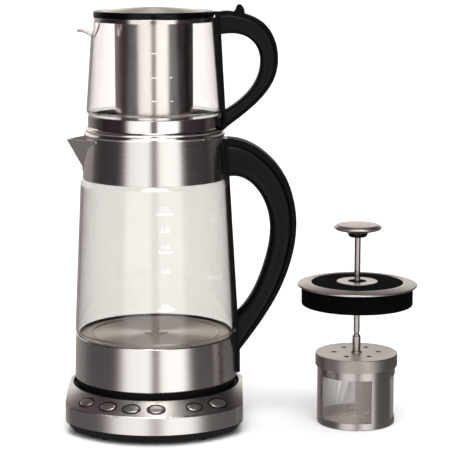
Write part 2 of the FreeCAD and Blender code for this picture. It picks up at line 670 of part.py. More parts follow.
def heating_plate():
    """Steel pan upside down: a rim, a groove round the bright disc, a skirt and a foot flange."""
    top_z = HEATER_Z
    under_z = top_z - HEATER_T
    flange_r = GLASS_IN_RING_R
    groove_r = HEATER_DISC_R + 1.6
    plate = turned([
        (0, top_z), (HEATER_DISC_R, top_z, 0.3), (HEATER_DISC_R + 0.4, top_z - HEATER_GROOVE),
        (groove_r, top_z - HEATER_GROOVE), (groove_r + 0.8, top_z, 0.5), (HEATER_R, top_z, 1.0),
        (HEATER_R, SEAL_FOOT_Z), (flange_r, SEAL_FOOT_Z), (flange_r, HEATER_FLANGE_Z),
        (HEATER_R - HEATER_T, HEATER_FLANGE_Z), (HEATER_R - HEATER_T, under_z), (0, under_z)])
    dimple = turned([(0, top_z), (DIMPLE_R, top_z), (DIMPLE_R - 1.2, top_z + DIMPLE_H, 0.8),
                     (NUB_R + 1.5, top_z + DIMPLE_H, 0.6), (NUB_R + 0.6, top_z + 0.2),
                     (NUB_R, top_z + 0.2), (NUB_R, top_z + DIMPLE_H, 0.5), (0, top_z + DIMPLE_H)])
    return joined([plate, dimple])


def heating_element():
    """Open ring pressed to the underside of the plate, with two terminals."""
    top_z = HEATER_Z - HEATER_T
    half = ELEMENT_W / 2
    ring = turned([
        (ELEMENT_AT_R - half, top_z), (ELEMENT_AT_R + half, top_z),
        (ELEMENT_AT_R + half, top_z - ELEMENT_H, 3.0), (ELEMENT_AT_R - half, top_z - ELEMENT_H, 3.0)],
        360.0 - ELEMENT_GAP_ANGLE)
    pieces = [spun(ring, 90 + ELEMENT_GAP_ANGLE / 2)]
    for side in (-1, 1):
        angle = math.radians(90 + side * (ELEMENT_GAP_ANGLE / 2 + 4))
        x, y = ELEMENT_AT_R * math.cos(angle), ELEMENT_AT_R * math.sin(angle)
        low_z = top_z - ELEMENT_H - TERMINAL_H
        pieces.append(cyl(TERMINAL_R, low_z, top_z - ELEMENT_H + 1, x, y))
    return joined(pieces)


def temperature_sensor():
    top_z = HEATER_Z - HEATER_T
    return turned([
        (0, top_z), (SENSOR_FLANGE_R, top_z), (SENSOR_FLANGE_R, top_z - 1.5),
        (SENSOR_R, top_z - 1.5), (SENSOR_R, top_z - SENSOR_H, 1.5), (0, top_z - SENSOR_H)])


def lower_seal():
    """Silicone ring with an upright lip between the heating plate and the glass."""
    inner = HEATER_R + SLIP
    lip_r = GLASS_IN_RING_R - GLASS_WALL - SLIP
    return turned([
        (inner, SEAL_FOOT_Z), (GLASS_IN_RING_R, SEAL_FOOT_Z),
        (GLASS_IN_RING_R, SEAL_FOOT_Z + SEAL_H), (lip_r, SEAL_FOOT_Z + SEAL_H),
        (lip_r, HEATER_Z - 1.2), (inner, HEATER_Z - 1.2)])


def kettle_glass():
    foot_z = SEAL_FOOT_Z + SEAL_H
    wide_z = RING_TOP_Z + 3.2
    neck_z = NECK_Z + 0.4
    w = GLASS_WALL
    return turned([
        (GLASS_IN_RING_R, foot_z, 0.8), (GLASS_IN_RING_R, RING_TOP_Z + GAP, 0.6),
        (GLASS_FOOT_R, wide_z, 2.0), (GLASS_SHOULDER_R, GLASS_SHOULDER_Z, 3.0),
        (GLASS_IN_NECK_R, neck_z, 1.0), (GLASS_IN_NECK_R, GLASS_TOP_Z, 0.8),
        (GLASS_IN_NECK_R - w, GLASS_TOP_Z, 0.8), (GLASS_IN_NECK_R - w, neck_z - 1.0, 1.5),
        (GLASS_SHOULDER_R - w, GLASS_SHOULDER_Z - 1.0, 3.0), (GLASS_FOOT_R - w, wide_z + 0.6, 2.0),
        (GLASS_IN_RING_R - w, RING_TOP_Z, 1.0), (GLASS_IN_RING_R - w, foot_z, 0.8)])


def upper_seal():
    """Silicone ring on the glass's top edge, under the collar's sleeve."""
    inner = GLASS_IN_NECK_R - GLASS_WALL
    outer = neck_in_r(GLASS_TOP_Z + UPPER_SEAL_H) - GAP
    top_z = GLASS_TOP_Z + UPPER_SEAL_H
    return turned([(inner, GLASS_TOP_Z), (outer, GLASS_TOP_Z), (outer, top_z, 0.8), (inner, top_z, 0.8)])


def neck_r(z):
    return NECK_FOOT_R + (NECK_TOP_R - NECK_FOOT_R) * (z - NECK_Z) / (NECK_TOP_Z - NECK_Z)


def neck_in_r(z):
    return neck_r(z) - NECK_WALL


def v_prism(root_z, tip_x, meet_w, z0, z1, inset=0.0):
    """Leaning wedge between two heights. Its ridge leaves the neck at root_z and reaches tip_x at the
    spout's top, where its two sides meet the neck at meet_w to each side."""
    top_r = neck_r(SPOUT_TOP_Z)
    half_angle = math.atan2(meet_w, tip_x - math.sqrt(top_r ** 2 - meet_w ** 2))
    lean = (tip_x - neck_r(root_z)) / (SPOUT_TOP_Z - root_z)
    nose_x = neck_r(root_z) + lean * (z0 - root_z) - inset / math.sin(half_angle)
    nose = Vec(-nose_x, 0, z0)
    arm = Vec(math.cos(half_angle), math.sin(half_angle), 0)
    mirror_arm = Vec(arm.x, -arm.y, 0)
    nose_r = SPOUT_NOSE_R - inset
    start = nose + arm * (nose_r / math.tan(half_angle))
    end = nose + mirror_arm * (nose_r / math.tan(half_angle))
    middle = nose + Vec(nose_r / math.sin(half_angle) - nose_r, 0, 0)
    left, right = nose + arm * tip_x, nose + mirror_arm * tip_x
    wire = Part.Wire([
        Part.LineSegment(left, start).toShape(), Part.Arc(start, middle, end).toShape(),
        Part.LineSegment(end, right).toShape(), Part.LineSegment(right, left).toShape()])
    return Part.Face(wire).extrude(Vec(-lean * (z1 - z0), 0, z1 - z0))


def spout_form(z0, z1, inset=0.0):
    return v_prism(SPOUT_ROOT_Z, SPOUT_TIP_X, SPOUT_HALF_W, z0, z1, inset)


def outside_neck(gap):
    """Everything inside the neck's outer face plus gap, as a solid to cut with."""
    return turned([(0, NECK_Z - 20), (neck_r(NECK_Z - 20) + gap, NECK_Z - 20),
                   (neck_r(NECK_TOP_Z + 20) + gap, NECK_TOP_Z + 20), (0, NECK_TOP_Z + 20)])


def kettle_spout():
    """Folded sheet V with a flange that lies on the neck; its mouth rises a little to the neck."""
    low_z, high_z = SPOUT_ROOT_Z - 8, SPOUT_TOP_Z + 8
    shell = spout_form(low_z, high_z).cut(spout_form(low_z - 1, high_z + 1, SPOUT_WALL))
    shell = shell.cut(outside_neck(SLIP))
    w = SPOUT_FLANGE_W
    around = v_prism(SPOUT_ROOT_Z - w, SPOUT_TIP_X + w, SPOUT_HALF_W + w * 0.8, low_z, high_z)
    flange = outside_neck(SLIP + SPOUT_FLANGE_T).cut(outside_neck(SLIP)).common(around)
    flange = flange.cut(spout_form(low_z - 1, high_z + 1, SPOUT_WALL))
    meet_x = math.sqrt(neck_r(SPOUT_TOP_Z) ** 2 - (SPOUT_HALF_W + w) ** 2)
    rise = SPOUT_MOUTH_RISE * (SPOUT_TIP_X - meet_x)
    mouth = Part.Wire([
        line((-SPOUT_TIP_X, SPOUT_TOP_Z), (-meet_x, SPOUT_TOP_Z + rise)),
        line((-meet_x, SPOUT_TOP_Z + rise), (-meet_x, low_z)), line((-meet_x, low_z), (-90, low_z)),
        line((-90, low_z), (-90, SPOUT_TOP_Z)), line((-90, SPOUT_TOP_Z), (-SPOUT_TIP_X, SPOUT_TOP_Z))])
    return joined([shell, flange]).common(slab(mouth, SPOUT_HALF_W + w))


def neck_ring():
    neck = turned([
        (NECK_FOOT_R - NECK_WALL, NECK_Z), (NECK_FOOT_R, NECK_Z, 0.4), (NECK_TOP_R, NECK_TOP_Z),
        (NECK_TOP_R - NECK_WALL, NECK_TOP_Z)])
    low_z, high_z = GLASS_TOP_Z + UPPER_SEAL_H + GAP, SPOUT_TOP_Z - SPOUT_WALL
    opening = spout_form(low_z, high_z, SPOUT_WALL)
    half = SPOUT_HALF_W
    opening = opening.common(box(-SPOUT_TIP_X, -NECK_FOOT_R / 2, -half, half, low_z, high_z))
    neck = neck.cut(opening)
    for z in K_SCREW_ZS:
        neck = neck.cut(rod_x(SCREW_R + SLIP, NECK_TOP_R - 10, NECK_FOOT_R + 5, z))
    return neck


def neck_collar():
    """Rolled, polished collar; its sleeve lines the neck and its top carries the teapot."""
    bead_z = NECK_TOP_Z
    sleeve_r = NECK_TOP_R - NECK_WALL - SLIP
    mouth_r = sleeve_r - COLLAR_SLEEVE_WALL
    low_z = COLLAR_TOP_Z - COLLAR_SLEEVE_DEPTH
    collar = turned([
        (mouth_r, low_z), (sleeve_r, low_z), (sleeve_r, bead_z), (COLLAR_R - 0.5, bead_z, 0.3),
        (COLLAR_R, bead_z + 1.4, 1.2), (COLLAR_R - 1.0, COLLAR_TOP_Z - 0.8, 0.8),
        (COLLAR_R - 2.2, COLLAR_TOP_Z), (mouth_r, COLLAR_TOP_Z, 0.4)])
    opening = box(-NECK_FOOT_R - 5, -30, -26, 26, low_z - 1, SPOUT_TOP_Z - 1)
    return collar.cut(opening)


# ---- handles --------------------------------------------------------------------------------------
def spline(points):
    curve = Part.BSplineCurve()
    curve.interpolate([Vec(x, 0, z) for x, z in points])
    return curve.toShape()


def inset_points(points, depths):
    """Points moved square to their curve, by a depth that runs evenly from first to last."""
    moved = []
    last = len(points) - 1
    for i in range(1, last):
        x, z = points[i]
        dx, dz = points[i + 1][0] - points[i - 1][0], points[i + 1][1] - points[i - 1][1]
        length = math.hypot(dx, dz)
        depth = depths[0] + (depths[1] - depths[0]) * i / last
        moved.append((x + depth * dz / length, z - depth * dx / length))
    return moved


def line(p, q):
    return Part.LineSegment(Vec(p[0], 0, p[1]), Vec(q[0], 0, q[1])).toShape()


class Handle:
    """Side view of a handle: a straight strap, a spine strip outside and a grip inside it."""

    def __init__(self, strap, ends, outer, outer_foot_z, inner, inner_zs, spine_t):
        self.strap_x, self.strap_z, self.lean = strap
        head_z, tail_z = ends
        head, foot = self.on_strap(head_z), self.on_strap(outer_foot_z)
        self.outer = [head] + self.beside_strap(outer, tail_z, head_z) + [foot]
        seam_head = self.on_strap(head_z - spine_t[0])
        seam_foot = self.on_strap(outer_foot_z + spine_t[1] * 1.3)
        self.seam = [seam_head] + inset_points(self.outer, spine_t) + [seam_foot]
        top, low = self.on_strap(inner_zs[0]), self.on_strap(inner_zs[1])
        self.inner = [top] + self.beside_strap(inner, tail_z, head_z) + [low]

    def on_strap(self, z):
        return self.strap_x + (self.strap_z - z) * self.lean, z

    def beside_strap(self, points, low_z, high_z):
        """Points (distance out from the strap, share of the height) as (x, z)."""
        places = []
        for out, share in points:
            x, z = self.on_strap(low_z + share * (high_z - low_z))
            places.append((x + out, z))
        return places

    def spine(self, width):
        wire = Part.Wire([spline(self.outer), line(self.outer[-1], self.seam[-1]),
                          spline(self.seam[::-1]), line(self.seam[0], self.outer[0])])
        return slab(wire, width / 2)

    def grip(self, width, fillets):
        wire = Part.Wire([spline(self.seam), line(self.seam[-1], self.inner[-1]),
                          spline(self.inner[::-1]), line(self.inner[0], self.seam[0])])
        solid = slab(wire, width / 2)
        seam_middle = self.seam[len(self.seam) // 2][0]
        inner_middle = self.inner[len(self.inner) // 2][0]
        by_seam, by_fingers = [], []
        for edge in solid.Edges:
            flat = abs(edge.BoundBox.YLength) < 1e-6
            if not flat or edge.Length < 60:
                continue
            near_seam = abs(edge.BoundBox.XMax - seam_middle) < abs(edge.BoundBox.XMax - inner_middle)
            (by_seam if near_seam else by_fingers).append(edge)
        solid = solid.makeFillet(fillets[0], by_seam)
        fingers = [e for e in solid.Edges
                   if abs(e.BoundBox.YLength) < 1e-6 and e.Length > 60
                   and abs(abs(e.CenterOfMass.y) - width / 2) < 1e-3
                   and abs(e.BoundBox.XMax - inner_middle) < 3.0]
        return solid.makeFillet(fillets[1], fingers)


def kettle_handle():
    return Handle((K_STRAP_X, K_STRAP_TOP_Z, K_STRAP_LEAN), (K_HEAD_Z, K_TAIL_Z), K_OUTER, K_OUTER_FOOT_Z,
                  K_INNER, (K_INNER_TOP_Z, K_INNER_FOOT_Z), K_SPINE_T)


def kettle_body_envelope(gap):
    """The kettle's outside with a gap, for what lies against it."""
    wide_z = RING_TOP_Z + 3.2
    return turned([
        (0, RING_Z - 5), (RING_FOOT_R + gap, RING_Z - 5), (RING_FOOT_R + gap, RING_Z),
        (RING_TOP_R + gap, RING_TOP_Z - 1), (GLASS_FOOT_R + gap, wide_z - 1.5),
        (GLASS_FOOT_R + gap, wide_z), (GLASS_SHOULDER_R + gap, GLASS_SHOULDER_Z + 1.5),
        (NECK_FOOT_R + gap, NECK_Z), (NECK_TOP_R + gap, NECK_TOP_Z), (0, NECK_TOP_Z)])


def kettle_handle_frame():
    """Strap from the neck down to the steel ring, with a lug that goes through the ring."""
    handle = kettle_handle()
    foot_x = handle.on_strap(K_STRAP_FOOT_Z)[0]
    deep_x = NECK_TOP_R - 15
    wire = rounded_wire([
        (deep_x, K_HEAD_Z), handle.on_strap(K_HEAD_Z), (foot_x, K_STRAP_FOOT_Z),
        (foot_x, K_TAIL_Z, 1.8), (deep_x, K_TAIL_Z)])
    strap = slab(wire, K_STRAP_W / 2).cut(kettle_body_envelope(GAP))
    strap = max(strap.Solids, key=lambda s: s.BoundBox.XMax)
    lug = rod_x(K_LUG_R, COVER_SLEEVE_R + GAP, foot_x - 1, K_LUG_Z)
    strap = joined([strap, lug])
    strap = strap.cut(rod_x(SCREW_R + SLIP, COVER_SLEEVE_R - 2, foot_x - 1.2, K_LUG_Z))
    for z in K_SCREW_ZS:
        strap = strap.cut(rod_x(SCREW_R + SLIP, deep_x, NECK_FOOT_R + 10, z))
    return strap


def kettle_handle_grip():
    grip = kettle_handle().grip(K_GRIP_W, K_FILLETS)
    for z in K_SCREW_ZS:
        grip = grip.cut(rod_x(SCREW_R + SLIP, NECK_TOP_R - 5, screw_tip_x() + 1, z))
    return grip


def screw_tip_x():
    return NECK_FOOT_R + 12.0


def kettle_handle_screws():
    """Two screws from inside the neck into the grip, and one from the sleeve into the lug."""
    screws = []
    for z in K_SCREW_ZS:
        seat_x = math.sqrt(neck_in_r(z + SCREW_HEAD_R) ** 2 - SCREW_HEAD_R ** 2) - SLIP
        head = rod_x(SCREW_HEAD_R, seat_x - SCREW_HEAD_H, seat_x, z)
        screws.append(head.fuse(rod_x(SCREW_R, seat_x - 0.5, screw_tip_x(), z)).removeSplitter())
    seat_r = COVER_SLEEVE_R - COVER_SLEEVE_WALL
    seat_x = math.sqrt(seat_r ** 2 - SCREW_HEAD_R ** 2) - SLIP
    tip_x = kettle_handle().on_strap(K_STRAP_FOOT_Z)[0] - 1.6
    head = rod_x(SCREW_HEAD_R, seat_x - SCREW_HEAD_H, seat_x, K_LUG_Z)
    screws.append(head.fuse(rod_x(SCREW_R, seat_x - 0.5, tip_x, K_LUG_Z)).removeSplitter())
    return Part.makeCompound(screws)


# ---- teapot -----------------------------------------------------------------------------------------
def pot_spigot_r():
    return NECK_TOP_R - NECK_WALL - SLIP - COLLAR_SLEEVE_WALL - LIFT_GAP


def pot_base_band():
    """Polished band round the glass's foot, with a flared foot and a spigot into the kettle."""
    wall = POT_BAND_WALL
    out_r = pot_spigot_r()
    ledge_z = POT_GLASS_Z
    return turned([
        (out_r - wall, COLLAR_TOP_Z - POT_SPIGOT_DEPTH), (out_r, COLLAR_TOP_Z - POT_SPIGOT_DEPTH),
        (out_r, COLLAR_TOP_Z), (POT_FOOT_R - 0.4, COLLAR_TOP_Z),
        (POT_FOOT_R, COLLAR_TOP_Z + 1.4, 0.9), (POT_BAND_R + 0.3, POT_BAND_Z - 1.2, 1.0),
        (POT_BAND_R, POT_BAND_Z), (POT_BAND_R, POT_BAND_TOP_Z, 0.3),
        (POT_BAND_R - wall, POT_BAND_TOP_Z, 0.3), (POT_BAND_R - wall, ledge_z),
        (POT_LEDGE_R, ledge_z), (POT_LEDGE_R, ledge_z - wall), (out_r - wall, ledge_z - wall)])


def lip_section(x, half_w, low_z, edge_z, wall):
    """U-shaped section of the pouring lip, open upwards; wall moves it inwards."""
    w, low, edge = half_w - wall, low_z + wall, edge_z + (2.0 if wall else 0.0)
    deep = edge - low
    curve = Part.BSplineCurve()
    points = [(-w, edge), (-0.88 * w, low + 0.42 * deep), (0, low), (0.88 * w, low + 0.42 * deep),
              (w, edge)]
    curve.interpolate([Vec(-x, y, z) for y, z in points])
    top = Part.LineSegment(Vec(-x, w, edge), Vec(-x, -w, edge)).toShape()
    return Part.Wire([curve.toShape(), top])


def lip_form(wall):
    sections = []
    for i, x in enumerate(LIP_X):
        along = x + (0.6 if wall and i == len(LIP_X) - 1 else 0.0)
        thin = wall * (0.75 if i == len(LIP_X) - 1 else 1.0)
        low_z, edge_z = POT_GLASS_TOP_Z - LIP_DEPTH[i], POT_GLASS_TOP_Z - LIP_DROP[i]
        sections.append(lip_section(along, LIP_HALF_W[i], low_z, edge_z, thin))
    return Part.makeLoft(sections, True, False)


def pot_glass():
    """Glass beaker that narrows upwards, with a pouring lip drawn out of its rim."""
    w = POT_GLASS_WALL
    in_r = POT_GLASS_IN_BAND_R
    body = turned([
        (0, POT_GLASS_Z), (in_r, POT_GLASS_Z, 1.5), (in_r, POT_BAND_TOP_Z + 0.2, 0.5),
        (POT_GLASS_FOOT_R, POT_GLASS_FOOT_Z, 2.0), (POT_GLASS_TOP_R, POT_GLASS_TOP_Z),
        (0, POT_GLASS_TOP_Z)])
    floor_z = POT_GLASS_Z + POT_GLASS_FLOOR
    room = turned([
        (0, floor_z), (in_r - w, floor_z, 3.0), (in_r - w, POT_BAND_TOP_Z - 1.0, 0.5),
        (POT_GLASS_FOOT_R - w, POT_GLASS_FOOT_Z + 1.0, 2.0), (POT_GLASS_TOP_R - w, POT_GLASS_TOP_Z),
        (POT_GLASS_TOP_R - w, POT_GLASS_TOP_Z + 5), (0, POT_GLASS_TOP_Z + 5)])
    return body.fuse(lip_form(0.0)).cut(room).cut(lip_form(w * 0.8))


def tea_infuser():
    """Steel cup with holes in its floor. The flange that carries it is welded on."""
    w = INFUSER_WALL
    top_z = POT_GLASS_TOP_Z + INFUSER_FLANGE_T
    cup = turned([
        (0, INFUSER_Z), (INFUSER_R, INFUSER_Z, 2.0), (INFUSER_R, top_z), (INFUSER_R - w, top_z),
        (INFUSER_R - w, INFUSER_Z + w, 1.4), (0, INFUSER_Z + w)])
    return cup.cut(strainer_holes(INFUSER_Z - 1, INFUSER_Z + 2))


def infuser_flange():
    """Flat ring on the glass's mouth, with a short skirt that keeps the infuser in the middle."""
    w = INFUSER_WALL
    flange_z = POT_GLASS_TOP_Z
    skirt_r = POT_GLASS_TOP_R - POT_GLASS_WALL - LIFT_GAP
    skirt_z = flange_z - INFUSER_SKIRT_H
    return turned([
        (INFUSER_R, flange_z), (skirt_r - w, flange_z), (skirt_r - w, skirt_z), (skirt_r, skirt_z),
        (skirt_r, flange_z), (INFUSER_FLANGE_R, flange_z),
        (INFUSER_FLANGE_R, flange_z + INFUSER_FLANGE_T, 0.3), (INFUSER_R, flange_z + INFUSER_FLANGE_T)])


def pot_handle():
    return Handle((T_STRAP_X, T_STRAP_TOP_Z, T_STRAP_LEAN), (T_HEAD_Z, T_TAIL_Z), T_OUTER, T_OUTER_FOOT_Z,
                  T_INNER, (T_INNER_TOP_Z, T_INNER_FOOT_Z), T_SPINE_T)


def pot_body_envelope(gap):
    return turned([
        (0, COLLAR_TOP_Z), (POT_FOOT_R + gap, COLLAR_TOP_Z), (POT_FOOT_R + gap, COLLAR_TOP_Z + 2.6),
        (POT_BAND_R + gap, POT_BAND_Z + gap), (POT_BAND_R + gap, POT_BAND_TOP_Z - 0.5),
        (POT_GLASS_FOOT_R + gap, POT_GLASS_FOOT_Z - 1.0), (POT_GLASS_FOOT_R + gap, POT_GLASS_FOOT_Z),
        (POT_GLASS_TOP_R + gap, POT_GLASS_TOP_Z), (POT_GLASS_TOP_R + gap, T_HEAD_Z + 5),
        (0, T_HEAD_Z + 5)])


def clear_of_lever(shape):
    """The shape with room for the lid's lever, for its tail as it swings down, and for the pin."""
    half = LEVER_W / 2 + LEVER_SLOT_GAP
    reach = math.hypot(LEVER_TAIL_X - HINGE_X, T_HEAD_Z - HINGE_Z) + LEVER_SLOT_GAP
    sweep = rod_y(reach, half, HINGE_X, HINGE_Z)
    swing = math.radians(LEVER_SWING)
    low_z = HINGE_Z - (LEVER_TAIL_X - HINGE_X) * math.sin(swing) - GAP
    keep = box(HINGE_X - LEVER_EYE_R - LEVER_SLOT_GAP, LEVER_TAIL_X + 3, -half, half, low_z, T_HEAD_Z + 5)
    front = box(LID_R - 5, HINGE_X + 1, -half, half, HINGE_Z - LEVER_EYE_R - LEVER_SLOT_GAP, T_HEAD_Z + 5)
    blind_bore = rod_y(HINGE_PIN_R + SLIP, HINGE_PIN_L / 2 + GAP, HINGE_X, HINGE_Z)
    return shape.cut(front).cut(sweep.common(keep)).cut(blind_bore)


def lid_room():
    """Space round the lid's rim that the handle's head keeps clear."""
    return cyl(LID_R + 2 * GAP, POT_GLASS_TOP_Z, T_HEAD_Z + 10).fuse(
        cyl(INFUSER_FLANGE_R + GAP, POT_GLASS_TOP_Z - 1, POT_GLASS_TOP_Z + INFUSER_FLANGE_T + GAP))


def pot_handle_frame():
    """Strap along the glass with a leaf-shaped pad over the steel band."""
    handle = pot_handle()
    deep_x = POT_GLASS_TOP_R - 15
    low_x = handle.on_strap(T_OUTER_FOOT_Z)[0]
    wire = rounded_wire([
        (deep_x, T_HEAD_Z), handle.on_strap(T_HEAD_Z), handle.on_strap(T_OUTER_FOOT_Z),
        (low_x - 2.2, T_TAIL_Z), (deep_x, T_TAIL_Z)])
    strap = slab(wire, T_STRAP_W / 2).cut(pot_body_envelope(GAP)).cut(lid_room())
    strap = max(strap.Solids, key=lambda s: s.BoundBox.XMax)
    pad = Part.Face(Part.Wire(Part.Ellipse(Vec(0, 0, 0), T_FOOT_PAD_W, T_FOOT_PAD_H).toShape()))
    pad.rotate(Vec(0, 0, 0), Vec(1, 0, 0), 90)
    pad.rotate(Vec(0, 0, 0), Z_AXIS, 90)
    pad.translate(Vec(30, 0, T_FOOT_PAD_Z))
    pad = pad.extrude(Vec(50, 0, 0))
    face_r = POT_BAND_R + GAP + T_FOOT_PAD_T
    pad = pad.common(cyl(face_r, T_TAIL_Z, POT_GLASS_FOOT_Z + 8)).cut(pot_body_envelope(GAP))
    pad = max(pad.Solids, key=lambda s: s.Volume)
    frame = clear_of_lever(joined([strap, pad]))
    return max(frame.Solids, key=lambda s: s.Volume)


def pot_handle_grip():
    return clear_of_lever(pot_handle().grip(T_GRIP_W, T_FILLETS))


def pot_handle_spine():
    return clear_of_lever(pot_handle().spine(T_SPINE_W))


def hinge_pin():
    return rod_y(HINGE_PIN_R, HINGE_PIN_L / 2, HINGE_X, HINGE_Z)


def lid_rim():
    """Black lid, hollow below, with a ring that goes down into the infuser's mouth."""
    plug_z = LID_Z - LID_PLUG_H
    recess_z = LID_TOP_Z - LID_WALL / 2
    under_z = recess_z - LID_WALL
    return turned([
        (0, under_z), (LID_PLUG_R - LID_WALL, under_z, 1.0), (LID_PLUG_R - LID_WALL, plug_z, 0.8),
        (LID_PLUG_R, plug_z, 0.8), (LID_PLUG_R, under_z, 0.6), (LID_R - LID_WALL, under_z, 0.6),
        (LID_R - LID_WALL, LID_Z), (LID_R, LID_Z, 0.6), (LID_R, LID_TOP_Z, 1.2),
        (LID_DOME_R, LID_TOP_Z), (LID_DOME_R, recess_z), (0, recess_z)])


def lid_dome():
    """Shallow brushed steel dome let into the lid ring."""
    low_z = LID_TOP_Z - LID_WALL / 2
    edge_r = LID_DOME_R - SLIP
    top = LID_TOP_Z + LID_DOME_H
    ball_r = (edge_r ** 2 + LID_DOME_H ** 2) / (2 * LID_DOME_H)
    half = math.asin(edge_r / ball_r) / 2
    middle = Vec(ball_r * math.sin(half), 0, top - ball_r * (1 - math.cos(half)))
    edge = Part.Arc(Vec(edge_r, 0, LID_TOP_Z), middle, Vec(0, 0, top)).toShape()
    wire = Part.Wire([
        Part.LineSegment(Vec(0, 0, low_z), Vec(edge_r, 0, low_z)).toShape(),
        Part.LineSegment(Vec(edge_r, 0, low_z), Vec(edge_r, 0, LID_TOP_Z)).toShape(), edge,
        Part.LineSegment(Vec(0, 0, top), Vec(0, 0, low_z)).toShape()])
    return Part.Face(wire).revolve(Vec(0, 0, 0), Z_AXIS, 360)


def lid_lever():
    """Lever from the lid over the hinge to the thumb tab."""
    half = LEVER_W / 2
    low_z = T_HEAD_Z - LEVER_T
    bar = rounded_wire([
        (LID_R - 4.0, low_z), (HINGE_X, low_z), (LEVER_TAIL_X - 1.0, low_z - 1.8, 1.0),
        (LEVER_TAIL_X, T_HEAD_Z - 2.4, 0.8), (LEVER_TAIL_X - 3.0, T_HEAD_Z - 0.2, 1.0),
        (LID_R - 4.0, T_HEAD_Z)])
    rise = [(HINGE_X + x, T_HEAD_Z + z) for x, z in TAB]
    feet = [(rise[-1][0], low_z + 1), (rise[0][0], low_z + 1)]
    tab = Part.Wire([spline(rise), line(rise[-1], feet[0]), line(feet[0], feet[1]),
                     line(feet[1], rise[0])])
    lever = joined([slab(bar, half), slab(tab, half), rod_y(LEVER_EYE_R, half, HINGE_X, HINGE_Z)])
    lid = cyl(LID_R + SLIP, LID_Z - 5, LID_TOP_Z + 10)
    return lever.cut(lid).cut(rod_y(HINGE_PIN_R + SLIP, half + 1, HINGE_X, HINGE_Z))


# ---- tea basket with its rod and floating lid ----------------------------------------------------------
def basket_frame():
    w = BASKET_WALL
    cup = turned([
        (BASKET_R - w - BASKET_FLANGE, 0), (BASKET_R, 0, 1.2), (BASKET_R, BASKET_TOP_Z, 0.3),
        (BASKET_R - w, BASKET_TOP_Z, 0.3), (BASKET_R - w, w), (BASKET_R - w - BASKET_FLANGE, w)])
    for k in range(BASKET_WINDOWS):
        window = turned([
            (BASKET_R - w - 0.5, BASKET_WINDOW_Z), (BASKET_R + 1, BASKET_WINDOW_Z),
            (BASKET_R + 1, BASKET_WINDOW_TOP_Z), (BASKET_R - w - 0.5, BASKET_WINDOW_TOP_Z)],
            BASKET_WINDOW_ANGLE)
        start = -90 + BASKET_WINDOW_AT - BASKET_WINDOW_ANGLE / 2 + 360.0 * k / BASKET_WINDOWS
        cup = cup.cut(spun(window, start))
    return cup


def basket_mesh():
    outer = BASKET_R - BASKET_WALL - SLIP
    low_z = BASKET_WALL + STRAINER_T + SLIP
    return tube(outer - MESH_T, outer, low_z, BASKET_WINDOW_TOP_Z + 5)


def basket_strainer():
    outer = BASKET_R - BASKET_WALL - SLIP
    disc = cyl(outer, BASKET_WALL, BASKET_WALL + STRAINER_T)
    return disc.cut(strainer_holes(0, BASKET_WALL + 3))


def cap_top_z():
    return BASKET_TOP_Z + CAP_WALL


def basket_cap():
    """Pull-off cover over the basket's rim, with a ring of round holes."""
    w = CAP_WALL
    cap = turned([
        (0, BASKET_TOP_Z), (CAP_R - w, BASKET_TOP_Z), (CAP_R - w, CAP_SKIRT_Z),
        (CAP_R, CAP_SKIRT_Z, 0.3), (CAP_R, cap_top_z(), 0.8), (0, cap_top_z())])
    holes = hole_ring(CAP_HOLE_AT_R, CAP_HOLES, CAP_HOLE_R, BASKET_TOP_Z - 1, cap_top_z() + 1)
    return cap.cut(spun(Part.makeCompound(holes), 90))


def rod_socket():
    foot_z = cap_top_z()
    top_z = foot_z + SOCKET_H
    socket = turned([
        (0, foot_z), (SOCKET_FLANGE_R, foot_z), (SOCKET_FLANGE_R, foot_z + SOCKET_FLANGE_H, 0.6),
        (SOCKET_R, foot_z + SOCKET_FLANGE_H), (SOCKET_R, top_z, 0.8), (0, top_z)])
    return socket.cut(cyl(ROD_R + SLIP, foot_z + 2, top_z + 1))


def plunger_rod():
    foot_z = cap_top_z() + 2
    groove_z = cap_top_z() + SOCKET_H + 1.2
    return turned([
        (0, foot_z), (ROD_R, foot_z), (ROD_R, groove_z), (ROD_R - 0.6, groove_z + 0.6),
        (ROD_R - 0.6, groove_z + 1.4), (ROD_R, groove_z + 2.0), (ROD_R, KNOB_Z + 2), (0, KNOB_Z + 2)])


def plunger_knob():
    """Low steel knob, nearly flat on top, with a thick rounded edge."""
    top_z = KNOB_Z + KNOB_H
    shoulder_z = top_z - 0.6
    knob = turned([
        (0, KNOB_Z), (KNOB_COLLAR_R + 2.5, KNOB_Z, 2.0),
        (KNOB_R - 1.2, shoulder_z - KNOB_EDGE_T, 1.2), (KNOB_R, shoulder_z - 0.65 * KNOB_EDGE_T, 0.9),
        (KNOB_R, shoulder_z - 0.4 * KNOB_EDGE_T, 0.9), (KNOB_R - 3.0, shoulder_z, 2.4), (0, top_z)])
    return knob.cut(cyl(ROD_R + SLIP, KNOB_Z - 1, KNOB_Z + 2))


def knob_collar():
    low_z = KNOB_Z - KNOB_COLLAR_H
    collar = turned([
        (ROD_R + SLIP, low_z), (KNOB_COLLAR_R - 1.2, low_z, 0.6), (KNOB_COLLAR_R, low_z + 2.0, 0.8),
        (KNOB_COLLAR_R, KNOB_Z), (ROD_R + SLIP, KNOB_Z)])
    return collar


